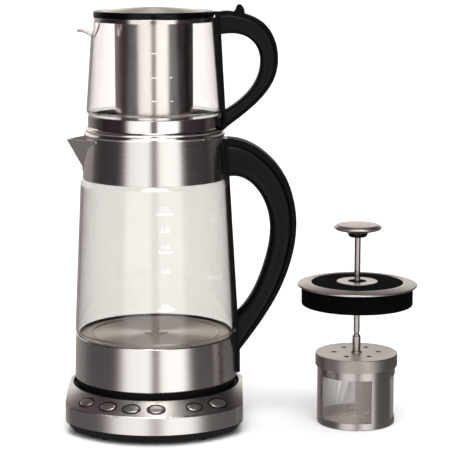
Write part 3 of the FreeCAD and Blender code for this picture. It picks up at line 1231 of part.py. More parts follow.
def float_skirt():
    """Black cup upside down, with its disc raised to fill the rim."""
    under_z = FLOAT_DECK_Z - FLOAT_WALL
    ledge_z = FLOAT_RIM_Z
    disc_r = FLOAT_RIM_IN_R - SLIP
    return turned([
        (GROMMET_R + SLIP, under_z), (disc_r - FLOAT_WALL, under_z),
        (disc_r, ledge_z - FLOAT_WALL), (FLOAT_SKIRT_R - FLOAT_WALL, ledge_z - FLOAT_WALL, 1.0),
        (FLOAT_SKIRT_R - FLOAT_WALL, FLOAT_SKIRT_Z), (FLOAT_SKIRT_R, FLOAT_SKIRT_Z, 1.0),
        (FLOAT_SKIRT_R, ledge_z), (disc_r, ledge_z), (disc_r, FLOAT_DECK_Z, 0.6),
        (GROMMET_R + SLIP, FLOAT_DECK_Z)])


def float_rim():
    """Polished rim that lies on the skirt and rests on the glass's mouth."""
    t = FLOAT_RIM_T
    crown_z = FLOAT_RIM_Z + FLOAT_RIM_RISE
    ledge_z = FLOAT_RIM_Z
    return turned([
        (FLOAT_RIM_IN_R, ledge_z), (FLOAT_RIM_IN_R + t, ledge_z), (FLOAT_RIM_IN_R + t, crown_z - t - 0.4),
        (FLOAT_RIM_R - t - 1.2, FLOAT_RIM_Z + t), (FLOAT_RIM_R - t, FLOAT_RIM_Z),
        (FLOAT_RIM_R, FLOAT_RIM_Z, 0.4), (FLOAT_RIM_R, FLOAT_RIM_Z + 1.4, 1.0),
        (FLOAT_RIM_R - 3.5, FLOAT_RIM_Z + 2.2, 4.0), (FLOAT_RIM_IN_R + 3.0, crown_z, 3.0),
        (FLOAT_RIM_IN_R, crown_z - 0.5, 0.5)])


def float_washer():
    z0 = FLOAT_DECK_Z
    inner = GROMMET_R + SLIP
    return turned([(inner, z0), (WASHER_R, z0), (WASHER_R, z0 + WASHER_T, 0.3), (inner, z0 + WASHER_T)])


def float_grommet():
    """Rubber bush that grips the rod, hooked under the disc."""
    under_z = FLOAT_DECK_Z - FLOAT_WALL
    top_z = FLOAT_DECK_Z + WASHER_T
    bore = ROD_R + SLIP
    return turned([
        (bore, under_z - GROMMET_FLANGE_T), (GROMMET_FLANGE_R, under_z - GROMMET_FLANGE_T, 0.5),
        (GROMMET_FLANGE_R, under_z), (GROMMET_R, under_z), (GROMMET_R, top_z),
        (bore + 3.0, top_z), (bore + 1.2, top_z - 1.4), (bore, top_z - 1.4)])


# ---- write every node ---------------------------------------------------------------------------------
def main():
    os.makedirs("parts", exist_ok=True)
    at_kettle = {
        "base_cover": base_cover(), "base_pan": base_pan(), "base_feet": base_feet(),
        "base_tray": base_tray(), "base_screws": base_screws(), "base_plug": base_plug(),
        "contact_ring": contact_ring(), "mains_gland": mains_gland(),
        "control_board": control_board(),
        "kettle_base_ring": kettle_base_ring(), "kettle_bottom_cover": kettle_bottom_cover(),
        "kettle_socket": kettle_socket(), "heating_plate": heating_plate(),
        "heating_element": heating_element(), "temperature_sensor": temperature_sensor(),
        "lower_seal": lower_seal(), "kettle_glass": kettle_glass(), "upper_seal": upper_seal(),
        "neck_ring": neck_ring(), "kettle_spout": kettle_spout(), "neck_collar": neck_collar(),
        "kettle_handle_frame": kettle_handle_frame(), "kettle_handle_grip": kettle_handle_grip(),
        "kettle_handle_spine": kettle_handle().spine(K_SPINE_W),
        "kettle_handle_screws": kettle_handle_screws(),
        "pot_base_band": pot_base_band(), "pot_glass": pot_glass(), "tea_infuser": tea_infuser(),
        "infuser_flange": infuser_flange(),
        "pot_handle_frame": pot_handle_frame(), "pot_handle_grip": pot_handle_grip(),
        "pot_handle_spine": pot_handle_spine(), "hinge_pin": hinge_pin(),
        "lid_rim": lid_rim(), "lid_dome": lid_dome(), "lid_lever": lid_lever(),
    }
    for name, angle, radius in BUTTONS:
        at_kettle[name] = on_panel(button(radius), angle)
    at_basket = {
        "basket_frame": basket_frame(), "basket_mesh": basket_mesh(),
        "basket_strainer": basket_strainer(), "basket_cap": basket_cap(),
        "rod_socket": rod_socket(), "plunger_rod": plunger_rod(), "plunger_knob": plunger_knob(),
        "knob_collar": knob_collar(), "float_skirt": float_skirt(), "float_rim": float_rim(),
        "float_washer": float_washer(), "float_grommet": float_grommet(),
    }
    for node, shape in at_kettle.items():
        save(node, shape, KETTLE_AT)
    for node, shape in at_basket.items():
        save(node, shape, BASKET_AT)


main()
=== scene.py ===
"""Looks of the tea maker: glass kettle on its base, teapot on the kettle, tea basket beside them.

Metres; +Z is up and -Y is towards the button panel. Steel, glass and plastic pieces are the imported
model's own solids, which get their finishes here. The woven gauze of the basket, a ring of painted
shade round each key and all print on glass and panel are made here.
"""
import json
import math

import bmesh
import bpy
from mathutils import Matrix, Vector
from mathutils.bvhtree import BVHTree

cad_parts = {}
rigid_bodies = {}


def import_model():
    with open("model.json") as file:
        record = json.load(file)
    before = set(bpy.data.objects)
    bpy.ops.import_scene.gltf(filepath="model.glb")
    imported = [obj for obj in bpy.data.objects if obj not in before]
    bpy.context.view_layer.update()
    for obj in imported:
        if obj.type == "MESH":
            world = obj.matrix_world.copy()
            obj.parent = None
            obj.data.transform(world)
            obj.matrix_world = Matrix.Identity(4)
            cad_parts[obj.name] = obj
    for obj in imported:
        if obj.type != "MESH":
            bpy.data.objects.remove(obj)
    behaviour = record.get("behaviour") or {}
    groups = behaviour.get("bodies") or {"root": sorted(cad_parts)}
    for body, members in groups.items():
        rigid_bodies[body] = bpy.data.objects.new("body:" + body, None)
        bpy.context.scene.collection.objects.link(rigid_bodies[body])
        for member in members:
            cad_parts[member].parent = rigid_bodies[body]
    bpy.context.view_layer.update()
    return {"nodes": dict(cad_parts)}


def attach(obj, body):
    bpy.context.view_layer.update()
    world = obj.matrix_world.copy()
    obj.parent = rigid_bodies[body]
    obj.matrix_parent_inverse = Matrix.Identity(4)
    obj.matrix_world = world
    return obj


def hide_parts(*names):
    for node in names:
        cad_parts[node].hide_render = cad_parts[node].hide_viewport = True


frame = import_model()
nodes = frame["nodes"]

MM = 0.001
KETTLE_AXIS = Vector((-0.078, 0.0055, 0.0))
BASKET_AXIS = Vector((0.103, -0.0065, 0.0))


# ---- tools --------------------------------------------------------------------------------------
def linear(hex_colour):
    """An sRGB hex value as the linear colour that nodes and lights work in."""
    parts = [int(hex_colour[i:i + 2], 16) / 255 for i in (1, 3, 5)]
    curved = [p / 12.92 if p <= 0.04045 else ((p + 0.055) / 1.055) ** 2.4 for p in parts]
    return (*curved, 1.0)


def shade(hex_colour, share):
    """That colour, linear, with its light scaled."""
    return (*[c * share for c in linear(hex_colour)[:3]], 1.0)


def in_radians(*degrees):
    return tuple(math.radians(angle) for angle in degrees)


def add(tree, kind, settings=None, links=None):
    """Adds one node. Settings name a socket (by name or number), a property, or a ramp's stops."""
    node = tree.nodes.new(kind)
    for name, value in (settings or {}).items():
        if name == "stops":
            ramp = node.color_ramp
            ramp.elements.remove(ramp.elements[1])
            for count, (place, colour) in enumerate(value):
                stop = ramp.elements.new(place) if count else ramp.elements[0]
                stop.position, stop.color = place, colour
        elif isinstance(name, str) and name not in node.inputs:
            setattr(node, name, value)
        else:
            node.inputs[name].default_value = value
    for name, source in (links or {}).items():
        tree.links.new(source, node.inputs[name])
    return node


def new_material(name, **sockets):
    """An empty material with one shader, whose own sockets take the values given."""
    material = bpy.data.materials.new(name)
    material.use_nodes = True
    tree = material.node_tree
    shader = tree.nodes["Principled BSDF"]
    for socket, value in sockets.items():
        shader.inputs[socket.replace("_", " ")].default_value = value
    return material, tree, shader


def give(material, *names):
    """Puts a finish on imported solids."""
    for name in names:
        for slot in nodes[name].material_slots:
            slot.material = material


def lamp_for(pieces, name, strength, width):
    """A soft lamp that lights only these pieces; its width is in degrees."""
    lit = bpy.data.collections.new("lit_by_" + name)
    bpy.context.scene.collection.children.link(lit)
    for piece in pieces:
        lit.objects.link(piece)
    lamp = bpy.data.objects.new(name, bpy.data.lights.new(name, "SUN"))
    lamp.data.energy = strength
    lamp.data.angle = math.radians(width)
    bpy.context.collection.objects.link(lamp)
    lamp.light_linking.receiver_collection = lit
    return lamp


# ---- camera, floor and studio -------------------------------------------------------------------
CAMERA_PLACE = (-0.01446, -1.51436, 0.4345)
CAMERA_TILT = 80.387     # degrees, 90 is level
CAMERA_LENS, CAMERA_SENSOR = 136.8, 36.0     # mm
CAMERA_NEAR = 0.05       # m, what is closer isn't drawn


def place_camera():
    camera = bpy.data.objects.new("camera", bpy.data.cameras.new("camera"))
    bpy.context.collection.objects.link(camera)
    camera.location = CAMERA_PLACE
    camera.rotation_euler = (math.radians(CAMERA_TILT), 0.0, 0.0)
    camera.data.lens = CAMERA_LENS
    camera.data.sensor_width = CAMERA_SENSOR
    camera.data.clip_start = CAMERA_NEAR
    bpy.context.scene.camera = camera


FLOOR_REACH = 40.0       # m, beyond all that the camera sees
FLOOR_COLOUR = "#EBEBEB"
FLOOR_LAMP, FLOOR_LAMP_WIDTH = 3.0, 70.0     # strength, degrees


def lay_floor():
    """Pale table top, lit by a wide soft lamp of its own that leaves only a contact shadow."""
    mesh = bpy.data.meshes.new("floor")
    r = FLOOR_REACH
    mesh.from_pydata([(-r, -r, 0), (r, -r, 0), (r, r, 0), (-r, r, 0)], [], [(0, 1, 2, 3)])
    floor = bpy.data.objects.new("floor", mesh)
    material, tree, shader = new_material("painted_table_top", Roughness=0.8)
    shader.inputs["Base Color"].default_value = linear(FLOOR_COLOUR)
    # what the steel mirrors, straight or through glass, are the cards and not the table
    ray = add(tree, "ShaderNodeLightPath")
    mirrored = add(tree, "ShaderNodeMath", {"operation": "GREATER_THAN", 1: 0.5},
                   {0: ray.outputs["Glossy Depth"]})
    nothing = add(tree, "ShaderNodeBsdfTransparent")
    surface = add(tree, "ShaderNodeMixShader", links={
        0: mirrored.outputs[0], 1: shader.outputs[0], 2: nothing.outputs[0]})
    tree.links.new(surface.outputs[0], tree.nodes["Material Output"].inputs["Surface"])
    mesh.materials.append(material)
    floor.visible_glossy = False
    lamp_for([floor], "floor_lamp", FLOOR_LAMP, FLOOR_LAMP_WIDTH)


# What stands round the object, as (degrees from the front towards +X, colour, brightness).
# Level walls of steel show it at twice the angle that the wall has turned away from the front.
CARD_WHITE, CARD_TAUPE, CARD_DARK = "#FFFFFF", "#D8C9C9", "#D8BAC8"
STUDIO_BANDS = (
    (-180, CARD_TAUPE, 0.32), (-150, CARD_TAUPE, 0.33), (-130, CARD_TAUPE, 0.22),
    (-116, CARD_TAUPE, 0.10), (-106, CARD_TAUPE, 0.06), (-94, CARD_DARK, 0.03),
    (-58, CARD_DARK, 0.04), (-51, CARD_DARK, 0.10), (-46, CARD_TAUPE, 0.50),
    (-41, CARD_WHITE, 1.15), (-33, CARD_WHITE, 1.35), (-10, CARD_WHITE, 1.45),
    (-5, CARD_WHITE, 1.20), (-2, CARD_TAUPE, 0.28), (5, CARD_TAUPE, 0.28),
    (8, CARD_WHITE, 1.25), (13, CARD_WHITE, 1.50), (24, CARD_WHITE, 1.58),
    (40, CARD_WHITE, 1.60), (44, CARD_WHITE, 1.00), (48, CARD_TAUPE, 0.20),
    (54, CARD_DARK, 0.06), (98, CARD_DARK, 0.03), (108, CARD_TAUPE, 0.10),
    (118, CARD_DARK, 0.08), (150, CARD_DARK, 0.03), (180, CARD_TAUPE, 0.32),
)
CARD_TOP = math.radians(52)  # how high up the cards in front of the object end
CARD_EDGE = (-0.03, 0.05)    # their soft upper edge, in radians from there
CARDS_SINK = (0.15, 0.45)    # towards the back, where 1 is straight, they sink to the level line
LOW_CARDS = in_radians(-12, -16)     # their feet stand closer: on the way down from here to there
LOW_CARDS_WIDER = 0.82               # each card comes to look wider
TABLE_SHEEN = 0.22           # what the table adds to the cards where it is seen steeply
SHEEN_GROWS = in_radians(-9, -19)
TABLE_SHOWS = in_radians(-50, -58)   # further down there is only the table
TABLE_LIGHT = (0.5, 0.49, 0.48, 1.0)
BACKDROP = 1.02              # what is seen straight behind the object, just over white
RIM_RAYS = in_radians(10, 22)        # upwards from here to there the backdrop fades for glass
STUDIO_POWER = 1.4
SKY_LIGHT, SKY_PLUM = "#FFFCF8", "#E2BBCB"
SKY_STEPS = ((0.0, SKY_LIGHT, 1.08), (0.22, SKY_LIGHT, 1.06), (0.30, SKY_LIGHT, 0.45),
             (0.35, SKY_PLUM, 0.22), (0.50, SKY_PLUM, 0.16), (0.70, SKY_PLUM, 0.14),
             (0.82, SKY_LIGHT, 0.30), (1.0, SKY_LIGHT, 0.35))    # share of the way up, level
SKY_RIGHT = 0.25             # the sky at the right hand side of the object is darker
SKY_RIGHT_FROM = (0.25, 0.42)        # it fades in from here to there towards +X, 1 is straight
SOFTBOX_AT = in_radians(4, 63)       # round from the front, up
SOFTBOX_REACH = in_radians(9, 20)    # from its middle, to where it is full and where it ends
SOFTBOX_GAIN = 6.0


def studio_world():
    """Cards and a softbox round the object, which the steel mirrors."""
    world = bpy.data.worlds.new("studio")
    bpy.context.scene.world = world
    world.use_nodes = True
    tree = world.node_tree
    tree.nodes.clear()
    way = add(tree, "ShaderNodeTexCoord").outputs["Generated"]
    split = add(tree, "ShaderNodeSeparateXYZ", links={0: way})
    x, y, z = split.outputs
    front = add(tree, "ShaderNodeMath", {"operation": "MULTIPLY", 1: -1.0}, {0: y})
    round_angle = add(tree, "ShaderNodeMath", {"operation": "ARCTAN2"}, {0: x, 1: front.outputs[0]})
    up = add(tree, "ShaderNodeMath", {"operation": "ARCSINE"}, {0: z})
    wider = add(tree, "ShaderNodeMapRange",
                {1: LOW_CARDS[0], 2: LOW_CARDS[1], 3: 1.0, 4: LOW_CARDS_WIDER}, {0: up.outputs[0]})
    card_angle = add(tree, "ShaderNodeMath", {"operation": "MULTIPLY"},
                     {0: round_angle.outputs[0], 1: wider.outputs[0]})
    turn = add(tree, "ShaderNodeMapRange", {1: -math.pi, 2: math.pi, 3: 0.0, 4: 1.0},
               {0: card_angle.outputs[0]})
    stops = []
    for degrees, colour, level in STUDIO_BANDS:
        strongest = max(linear(colour)[:3])
        stops.append(((degrees + 180) / 360, shade(colour, level / strongest / STUDIO_POWER)))
    bands = add(tree, "ShaderNodeValToRGB", {"stops": stops}, {0: turn.outputs[0]})
    way_up = add(tree, "ShaderNodeMapRange", {1: 0.0, 2: math.pi / 2, 3: 0.0, 4: 1.0},
                 {0: up.outputs[0]})
    stops = [(place, shade(colour, level / STUDIO_POWER)) for place, colour, level in SKY_STEPS]
    sky = add(tree, "ShaderNodeValToRGB", {"stops": stops}, {0: way_up.outputs[0]})
    dim = add(tree, "ShaderNodeMapRange",
              {1: SKY_RIGHT_FROM[0], 2: SKY_RIGHT_FROM[1], 3: 1.0, 4: SKY_RIGHT}, {0: x})
    sky = add(tree, "ShaderNodeVectorMath", {"operation": "SCALE"},
              {0: sky.outputs[0], "Scale": dim.outputs[0]})

    sheen = add(tree, "ShaderNodeMapRange",
                {1: SHEEN_GROWS[0], 2: SHEEN_GROWS[1], 3: 0.0, 4: TABLE_SHEEN / STUDIO_POWER},
                {0: up.outputs[0]})
    bands = add(tree, "ShaderNodeMix", {"data_type": "RGBA", "blend_type": "ADD", 0: 1.0},
                {6: bands.outputs[0], 7: sheen.outputs[0]})

    # behind the object the sky starts at the level line, in front of it above the cards
    card_top = add(tree, "ShaderNodeMapRange",
                   {1: CARDS_SINK[0], 2: CARDS_SINK[1], 3: CARD_TOP, 4: 0.0}, {0: y})
    over_top = add(tree, "ShaderNodeMath", {"operation": "SUBTRACT"},
                   {0: up.outputs[0], 1: card_top.outputs[0]})
    above = add(tree, "ShaderNodeMapRange", {1: CARD_EDGE[0], 2: CARD_EDGE[1], 3: 0.0, 4: 1.0},
                {0: over_top.outputs[0]})
    ring = add(tree, "ShaderNodeMix", {"data_type": "RGBA"},
               {0: above.outputs[0], 6: bands.outputs[2], 7: sky.outputs[0]})

    a, e = SOFTBOX_AT
    towards = (math.sin(a) * math.cos(e), -math.cos(a) * math.cos(e), math.sin(e))
    near = add(tree, "ShaderNodeVectorMath", {"operation": "DOT_PRODUCT", 1: towards}, {0: way})
    glow = add(tree, "ShaderNodeMapRange",
               {"interpolation_type": "SMOOTHSTEP",
                1: math.cos(SOFTBOX_REACH[1]), 2: math.cos(SOFTBOX_REACH[0]),
                3: 0.0, 4: SOFTBOX_GAIN / STUDIO_POWER},
               {0: near.outputs["Value"]})
    lit = add(tree, "ShaderNodeMix", {"data_type": "RGBA", "blend_type": "ADD", 0: 1.0},
              {6: ring.outputs[2], 7: glow.outputs[0]})

    down = add(tree, "ShaderNodeMapRange",
               {1: TABLE_SHOWS[0], 2: TABLE_SHOWS[1], 3: 0.0, 4: 1.0}, {0: up.outputs[0]})
    table = add(tree, "ShaderNodeMix", {"data_type": "RGBA", 7: TABLE_LIGHT},
                {0: down.outputs[0], 6: lit.outputs[2]})
    # straight views and views through glass meet the plain backdrop, mirrored ones the cards
    ray = add(tree, "ShaderNodeLightPath")
    straight = add(tree, "ShaderNodeMath", {"operation": "LESS_THAN", 1: 0.5},
                   {0: ray.outputs["Glossy Depth"]})
    through = add(tree, "ShaderNodeMath", {"operation": "MULTIPLY"},
                  {0: straight.outputs[0], 1: ray.outputs["Is Transmission Ray"]})
    # rays that the rims of the glass bend upwards meet the dark ceiling, so the rims draw a line
    level = add(tree, "ShaderNodeMapRange", {1: RIM_RAYS[0], 2: RIM_RAYS[1], 3: 1.0, 4: 0.0},
                {0: up.outputs[0]})
    through = add(tree, "ShaderNodeMath", {"operation": "MULTIPLY"},
                  {0: through.outputs[0], 1: level.outputs[0]})
    seen = add(tree, "ShaderNodeMath", {"operation": "MAXIMUM"},
               {0: ray.outputs["Is Camera Ray"], 1: through.outputs[0]})
    backdrop = add(tree, "ShaderNodeMix",
                   {"data_type": "RGBA", 7: shade("#FFFFFF", BACKDROP / STUDIO_POWER)},
                   {0: seen.outputs[0], 6: table.outputs[2]})
    light = add(tree, "ShaderNodeBackground", {"Strength": STUDIO_POWER},
                {0: backdrop.outputs[2]})
    add(tree, "ShaderNodeOutputWorld", links={0: light.outputs[0]})
    bpy.context.scene.view_settings.view_transform = "Standard"


# ---- metals -------------------------------------------------------------------------------------
def round_the_axis(tree, axis):
    """For a turned piece: its radius, height, unit direction out and, in the world, way round."""
    place = add(tree, "ShaderNodeTexCoord").outputs["Object"]
    out = add(tree, "ShaderNodeVectorMath", {"operation": "SUBTRACT", 1: axis}, {0: place})
    flat = add(tree, "ShaderNodeVectorMath", {"operation": "MULTIPLY", 1: (1, 1, 0)},
               {0: out.outputs[0]})
    radius = add(tree, "ShaderNodeVectorMath", {"operation": "LENGTH"}, {0: flat.outputs[0]})
    unit = add(tree, "ShaderNodeVectorMath", {"operation": "NORMALIZE"}, {0: flat.outputs[0]})
    height = add(tree, "ShaderNodeSeparateXYZ", links={0: place}).outputs[2]
    round_way = add(tree, "ShaderNodeVectorMath", {"operation": "CROSS_PRODUCT", 0: (0, 0, 1)},
                    {1: unit.outputs[0]})
    world_way = add(tree, "ShaderNodeVectorTransform",
                    {"vector_type": "VECTOR", "convert_from": "OBJECT", "convert_to": "WORLD"},
                    {0: round_way.outputs[0]})
    return radius.outputs["Value"], height, unit.outputs[0], world_way.outputs[0]


STREAKS_AT_R = 70.0      # mm from the axis, where streaks have the length streak_mm


def brushed_stainless(name, axis, line_mm, streak_mm, roughness, colour, by_radius=True):
    """Sheet of 304 stainless brushed round its axis: fine lines that run round the piece draw
    each reflection out into a soft upright band, and turn a little lighter and darker. The lines
    of the brush are about 0.1 mm wide and are drawn at line_mm, so that they show. With by_radius
    they also run round tops and slopes."""
    material, tree, shader = new_material(name, Metallic=1.0, Anisotropic=0.85,
                                          Anisotropic_Rotation=0.25)
    radius, height, unit, round_way = round_the_axis(tree, axis)
    span = add(tree, "ShaderNodeVectorMath",
               {"operation": "SCALE", "Scale": STREAKS_AT_R / streak_mm}, {0: unit})
    parts = add(tree, "ShaderNodeSeparateXYZ", links={0: span.outputs[0]})
    lines = add(tree, "ShaderNodeMath", {"operation": "MULTIPLY", 1: 1 / (line_mm * MM)},
                {0: height})
    if by_radius:
        rings = add(tree, "ShaderNodeMath", {"operation": "MULTIPLY", 1: 1 / (line_mm * MM)},
                    {0: radius})
        lines = add(tree, "ShaderNodeMath", {"operation": "ADD"},
                    {0: lines.outputs[0], 1: rings.outputs[0]})
    place = add(tree, "ShaderNodeCombineXYZ",
                links={0: lines.outputs[0], 1: parts.outputs[0], 2: parts.outputs[1]})
    grain = add(tree, "ShaderNodeTexNoise", {"Scale": 1.0, "Detail": 3.0, "Roughness": 0.65},
                {"Vector": place.outputs[0]})
    rough = add(tree, "ShaderNodeMapRange",
                {1: 0.3, 2: 0.7, 3: roughness * 0.88, 4: roughness * 1.14}, {0: grain.outputs[0]})
    tone = add(tree, "ShaderNodeMix",
               {"data_type": "RGBA", 6: shade(colour, 0.9), 7: linear(colour)},
               {0: grain.outputs[0]})
    bump = add(tree, "ShaderNodeBump", {"Strength": 0.1, "Distance": 0.01 * MM},
               {"Height": grain.outputs[0]})
    for source, socket in ((rough.outputs[0], "Roughness"), (tone.outputs[2], "Base Color"),
                           (bump.outputs[0], "Normal"), (round_way, "Tangent")):
        tree.links.new(source, shader.inputs[socket])
    return material


def polished_stainless(name, colour, roughness):
    """Buffed or fine-blasted 304 stainless, dulled in soft patches where it is wiped by hand. Its
    hairlines are far finer than the 0.8 mm that they are drawn at."""
    material, tree, shader = new_material(name, Metallic=1.0)
    shader.inputs["Base Color"].default_value = linear(colour)
    place = add(tree, "ShaderNodeTexCoord").outputs["Object"]
    patches = add(tree, "ShaderNodeTexNoise", {"Scale": 1 / (28 * MM), "Detail": 4.0},
                  {"Vector": place})
    rough = add(tree, "ShaderNodeMapRange", {1: 0.4, 2: 0.7, 3: roughness, 4: roughness + 0.05},
                {0: patches.outputs[0]})
    hairlines = add(tree, "ShaderNodeTexNoise", {"Scale": 1 / (0.8 * MM), "Detail": 2.0},
                    {"Vector": place})
    bump = add(tree, "ShaderNodeBump", {"Strength": 0.06, "Distance": 0.01 * MM},
               {"Height": hairlines.outputs[0]})
    tree.links.new(rough.outputs[0], shader.inputs["Roughness"])
    tree.links.new(bump.outputs[0], shader.inputs["Normal"])
    return material


COVER_HOLES, HOLES_AT_R, HOLE_R = 6, 20.0 * MM, 2.1 * MM
HOLE_SHADE_REACH = (0.3 * MM, 0.6 * MM)    # painted shade round the holes: past a hole's edge, to where it is full and where it ends
COVER_EDGE = (36.3 * MM, 36.7 * MM)  # from the axis, where the top turns into the side


def blasted_cover():
    """Steel of the basket's cover, blasted on top and drawn round the side. Painted light and shade:
    the top is painted lighter and the side darker than the one steel, and the punched holes are
    painted dark as shade."""
    material = polished_stainless("blasted_stainless_cover", "#DED7D0", 0.42)
    tree = material.node_tree
    shader = tree.nodes["Principled BSDF"]
    place = add(tree, "ShaderNodeTexCoord").outputs["Object"]
    out = add(tree, "ShaderNodeVectorMath", {"operation": "SUBTRACT", 1: BASKET_AXIS}, {0: place})
    x, y, _ = add(tree, "ShaderNodeSeparateXYZ", links={0: out.outputs[0]}).outputs
    flat = add(tree, "ShaderNodeCombineXYZ", links={0: x, 1: y})
    radius = add(tree, "ShaderNodeVectorMath", {"operation": "LENGTH"}, {0: flat.outputs[0]})
    # all holes are folded onto the one at +X
    turn = add(tree, "ShaderNodeMath", {"operation": "ARCTAN2"}, {0: y, 1: x})
    off = add(tree, "ShaderNodeMath", {"operation": "PINGPONG", 1: math.pi / COVER_HOLES},
              {0: turn.outputs[0]})
    along = add(tree, "ShaderNodeMath", {"operation": "COSINE"}, {0: off.outputs[0]})
    across = add(tree, "ShaderNodeMath", {"operation": "SINE"}, {0: off.outputs[0]})
    way = add(tree, "ShaderNodeCombineXYZ", links={0: along.outputs[0], 1: across.outputs[0]})
    spot = add(tree, "ShaderNodeVectorMath", {"operation": "SCALE"},
               {0: way.outputs[0], "Scale": radius.outputs["Value"]})
    from_hole = add(tree, "ShaderNodeVectorMath", {"operation": "DISTANCE", 1: (HOLES_AT_R, 0, 0)},
                    {0: spot.outputs[0]})
    # painted shade: each hole and a thin ring round it are painted near black, where shade falls
    # into them
    clear_of_hole_shade = add(tree, "ShaderNodeMapRange",
                {1: HOLE_R + HOLE_SHADE_REACH[0], 2: HOLE_R + HOLE_SHADE_REACH[1], 3: 0.0, 4: 1.0},
                {0: from_hole.outputs["Value"]})
    # painted light and shade: this mask runs from the top, painted lighter, to the drawn side,
    # painted darker, on one steel
    drawn = add(tree, "ShaderNodeMapRange", {1: COVER_EDGE[0], 2: COVER_EDGE[1], 3: 0.0, 4: 1.0},
                {0: radius.outputs["Value"]})
    steel = add(tree, "ShaderNodeMix",
                {"data_type": "RGBA", 6: linear("#EFE8E1"), 7: linear("#A69F9A")},
                {0: drawn.outputs[0]})
    tone = add(tree, "ShaderNodeMix", {"data_type": "RGBA", 6: linear("#120C09")},
               {0: clear_of_hole_shade.outputs[0], 7: steel.outputs[2]})
    tree.links.new(tone.outputs[2], shader.inputs["Base Color"])
    return material


def cast_aluminium():
    """Pressure-cast aluminium of the ring heater: grey, dull and slightly orange-peeled."""
    material, tree, shader = new_material("cast_aluminium", Metallic=1.0)
    place = add(tree, "ShaderNodeTexCoord").outputs["Object"]
    peel = add(tree, "ShaderNodeTexNoise", {"Scale": 1 / (1.5 * MM), "Detail": 5.0},
               {"Vector": place})
    tone = add(tree, "ShaderNodeMix",
               {"data_type": "RGBA", 6: linear("#8F8E8C"), 7: linear("#B9B8B5")},
               {0: peel.outputs[0]})
    rough = add(tree, "ShaderNodeMapRange", {3: 0.42, 4: 0.62}, {0: peel.outputs[0]})
    bump = add(tree, "ShaderNodeBump", {"Strength": 0.4, "Distance": 0.08 * MM},
               {"Height": peel.outputs[0]})
    for source, socket in ((tone.outputs[2], "Base Color"), (rough.outputs[0], "Roughness"),
                           (bump.outputs[0], "Normal")):
        tree.links.new(source, shader.inputs[socket])
    return material


def turned_brass():
    """Turned brass of the contact ring: yellow, bright on the ridges that the plug rubs."""
    material, tree, shader = new_material("turned_brass", Metallic=1.0)
    place = add(tree, "ShaderNodeTexCoord").outputs["Object"]
    _, _, height = add(tree, "ShaderNodeSeparateXYZ", links={0: place}).outputs
    feed = add(tree, "ShaderNodeMath", {"operation": "MULTIPLY", 1: 2 * math.pi / (0.25 * MM)},
               {0: height})
    ridge = add(tree, "ShaderNodeMath", {"operation": "SINE"}, {0: feed.outputs[0]})
    rough = add(tree, "ShaderNodeMapRange", {1: -1.0, 2: 1.0, 3: 0.34, 4: 0.2},
                {0: ridge.outputs[0]})
    bump = add(tree, "ShaderNodeBump", {"Strength": 0.3, "Distance": 0.02 * MM},
               {"Height": ridge.outputs[0]})
    shader.inputs["Base Color"].default_value = linear("#D8B35E")
    tree.links.new(rough.outputs[0], shader.inputs["Roughness"])
    tree.links.new(bump.outputs[0], shader.inputs["Normal"])
    return material


# ---- glass --------------------------------------------------------------------------------------
def blown_borosilicate(name, colour):
    """Blown borosilicate: clear and smooth, slightly wavy from the mould, a faint grey in depth."""
    material, tree, shader = new_material(name, Roughness=0.0, IOR=1.47, Transmission_Weight=1.0)
    shader.inputs["Base Color"].default_value = linear(colour)
    place = add(tree, "ShaderNodeTexCoord").outputs["Object"]
    upright = add(tree, "ShaderNodeVectorMath", {"operation": "MULTIPLY", 1: (1.0, 1.0, 0.25)},
                  {0: place})
    waves = add(tree, "ShaderNodeTexNoise", {"Scale": 1 / (22 * MM), "Detail": 1.0},
                {"Vector": upright.outputs[0]})
    bump = add(tree, "ShaderNodeBump", {"Strength": 0.35, "Distance": 0.25 * MM},
               {"Height": waves.outputs[0]})
    tree.links.new(bump.outputs[0], shader.inputs["Normal"])
    return material


# ---- plastics, rubber and the rest --------------------------------------------------------------
def moulded_plastic(name, colour, roughness, grain_mm, grain_depth_mm, shine=0.15):
    """Moulded PP, ABS, silicone or rubber. Its spark-eroded mould leaves a fine even grain that
    breaks up the shine: about 0.1 mm in the real piece, drawn at grain_mm so that it shows."""
    material, tree, shader = new_material(name, IOR=1.49, Specular_IOR_Level=shine)
    place = add(tree, "ShaderNodeTexCoord").outputs["Object"]
    grain = add(tree, "ShaderNodeTexNoise", {"Scale": 1 / (grain_mm * MM), "Detail": 2.0},
                {"Vector": place})
    wear = add(tree, "ShaderNodeTexNoise", {"Scale": 1 / (35 * MM), "Detail": 3.0},
               {"Vector": place})
    rough = add(tree, "ShaderNodeMapRange",
                {1: 0.3, 2: 0.7, 3: roughness * 0.92, 4: roughness * 1.1}, {0: wear.outputs[0]})
    tone = add(tree, "ShaderNodeMix",
               {"data_type": "RGBA", 6: shade(colour, 0.85), 7: shade(colour, 1.15)},
               {0: grain.outputs[0]})
    bump = add(tree, "ShaderNodeBump", {"Strength": 0.5, "Distance": grain_depth_mm * MM},
               {"Height": grain.outputs[0]})
    for source, socket in ((tone.outputs[2], "Base Color"), (rough.outputs[0], "Roughness"),
                           (bump.outputs[0], "Normal")):
        tree.links.new(source, shader.inputs[socket])
    return material


def metallised_cap():
    """ABS key cap with a sprayed metallic coat: flakes of about 0.1 mm, drawn at 0.4 mm."""
    material, tree, shader = new_material("metallised_key_cap", Metallic=0.85)
    place = add(tree, "ShaderNodeTexCoord").outputs["Object"]
    flakes = add(tree, "ShaderNodeTexVoronoi", {"Scale": 1 / (0.4 * MM)}, {"Vector": place})
    tone = add(tree, "ShaderNodeMix",
               {"data_type": "RGBA", 6: linear("#857F7D"), 7: linear("#A8A29F")},
               {0: flakes.outputs["Distance"]})
    rough = add(tree, "ShaderNodeMapRange", {3: 0.26, 4: 0.36}, {0: flakes.outputs["Distance"]})
    tree.links.new(tone.outputs[2], shader.inputs["Base Color"])
    tree.links.new(rough.outputs[0], shader.inputs["Roughness"])
    return material


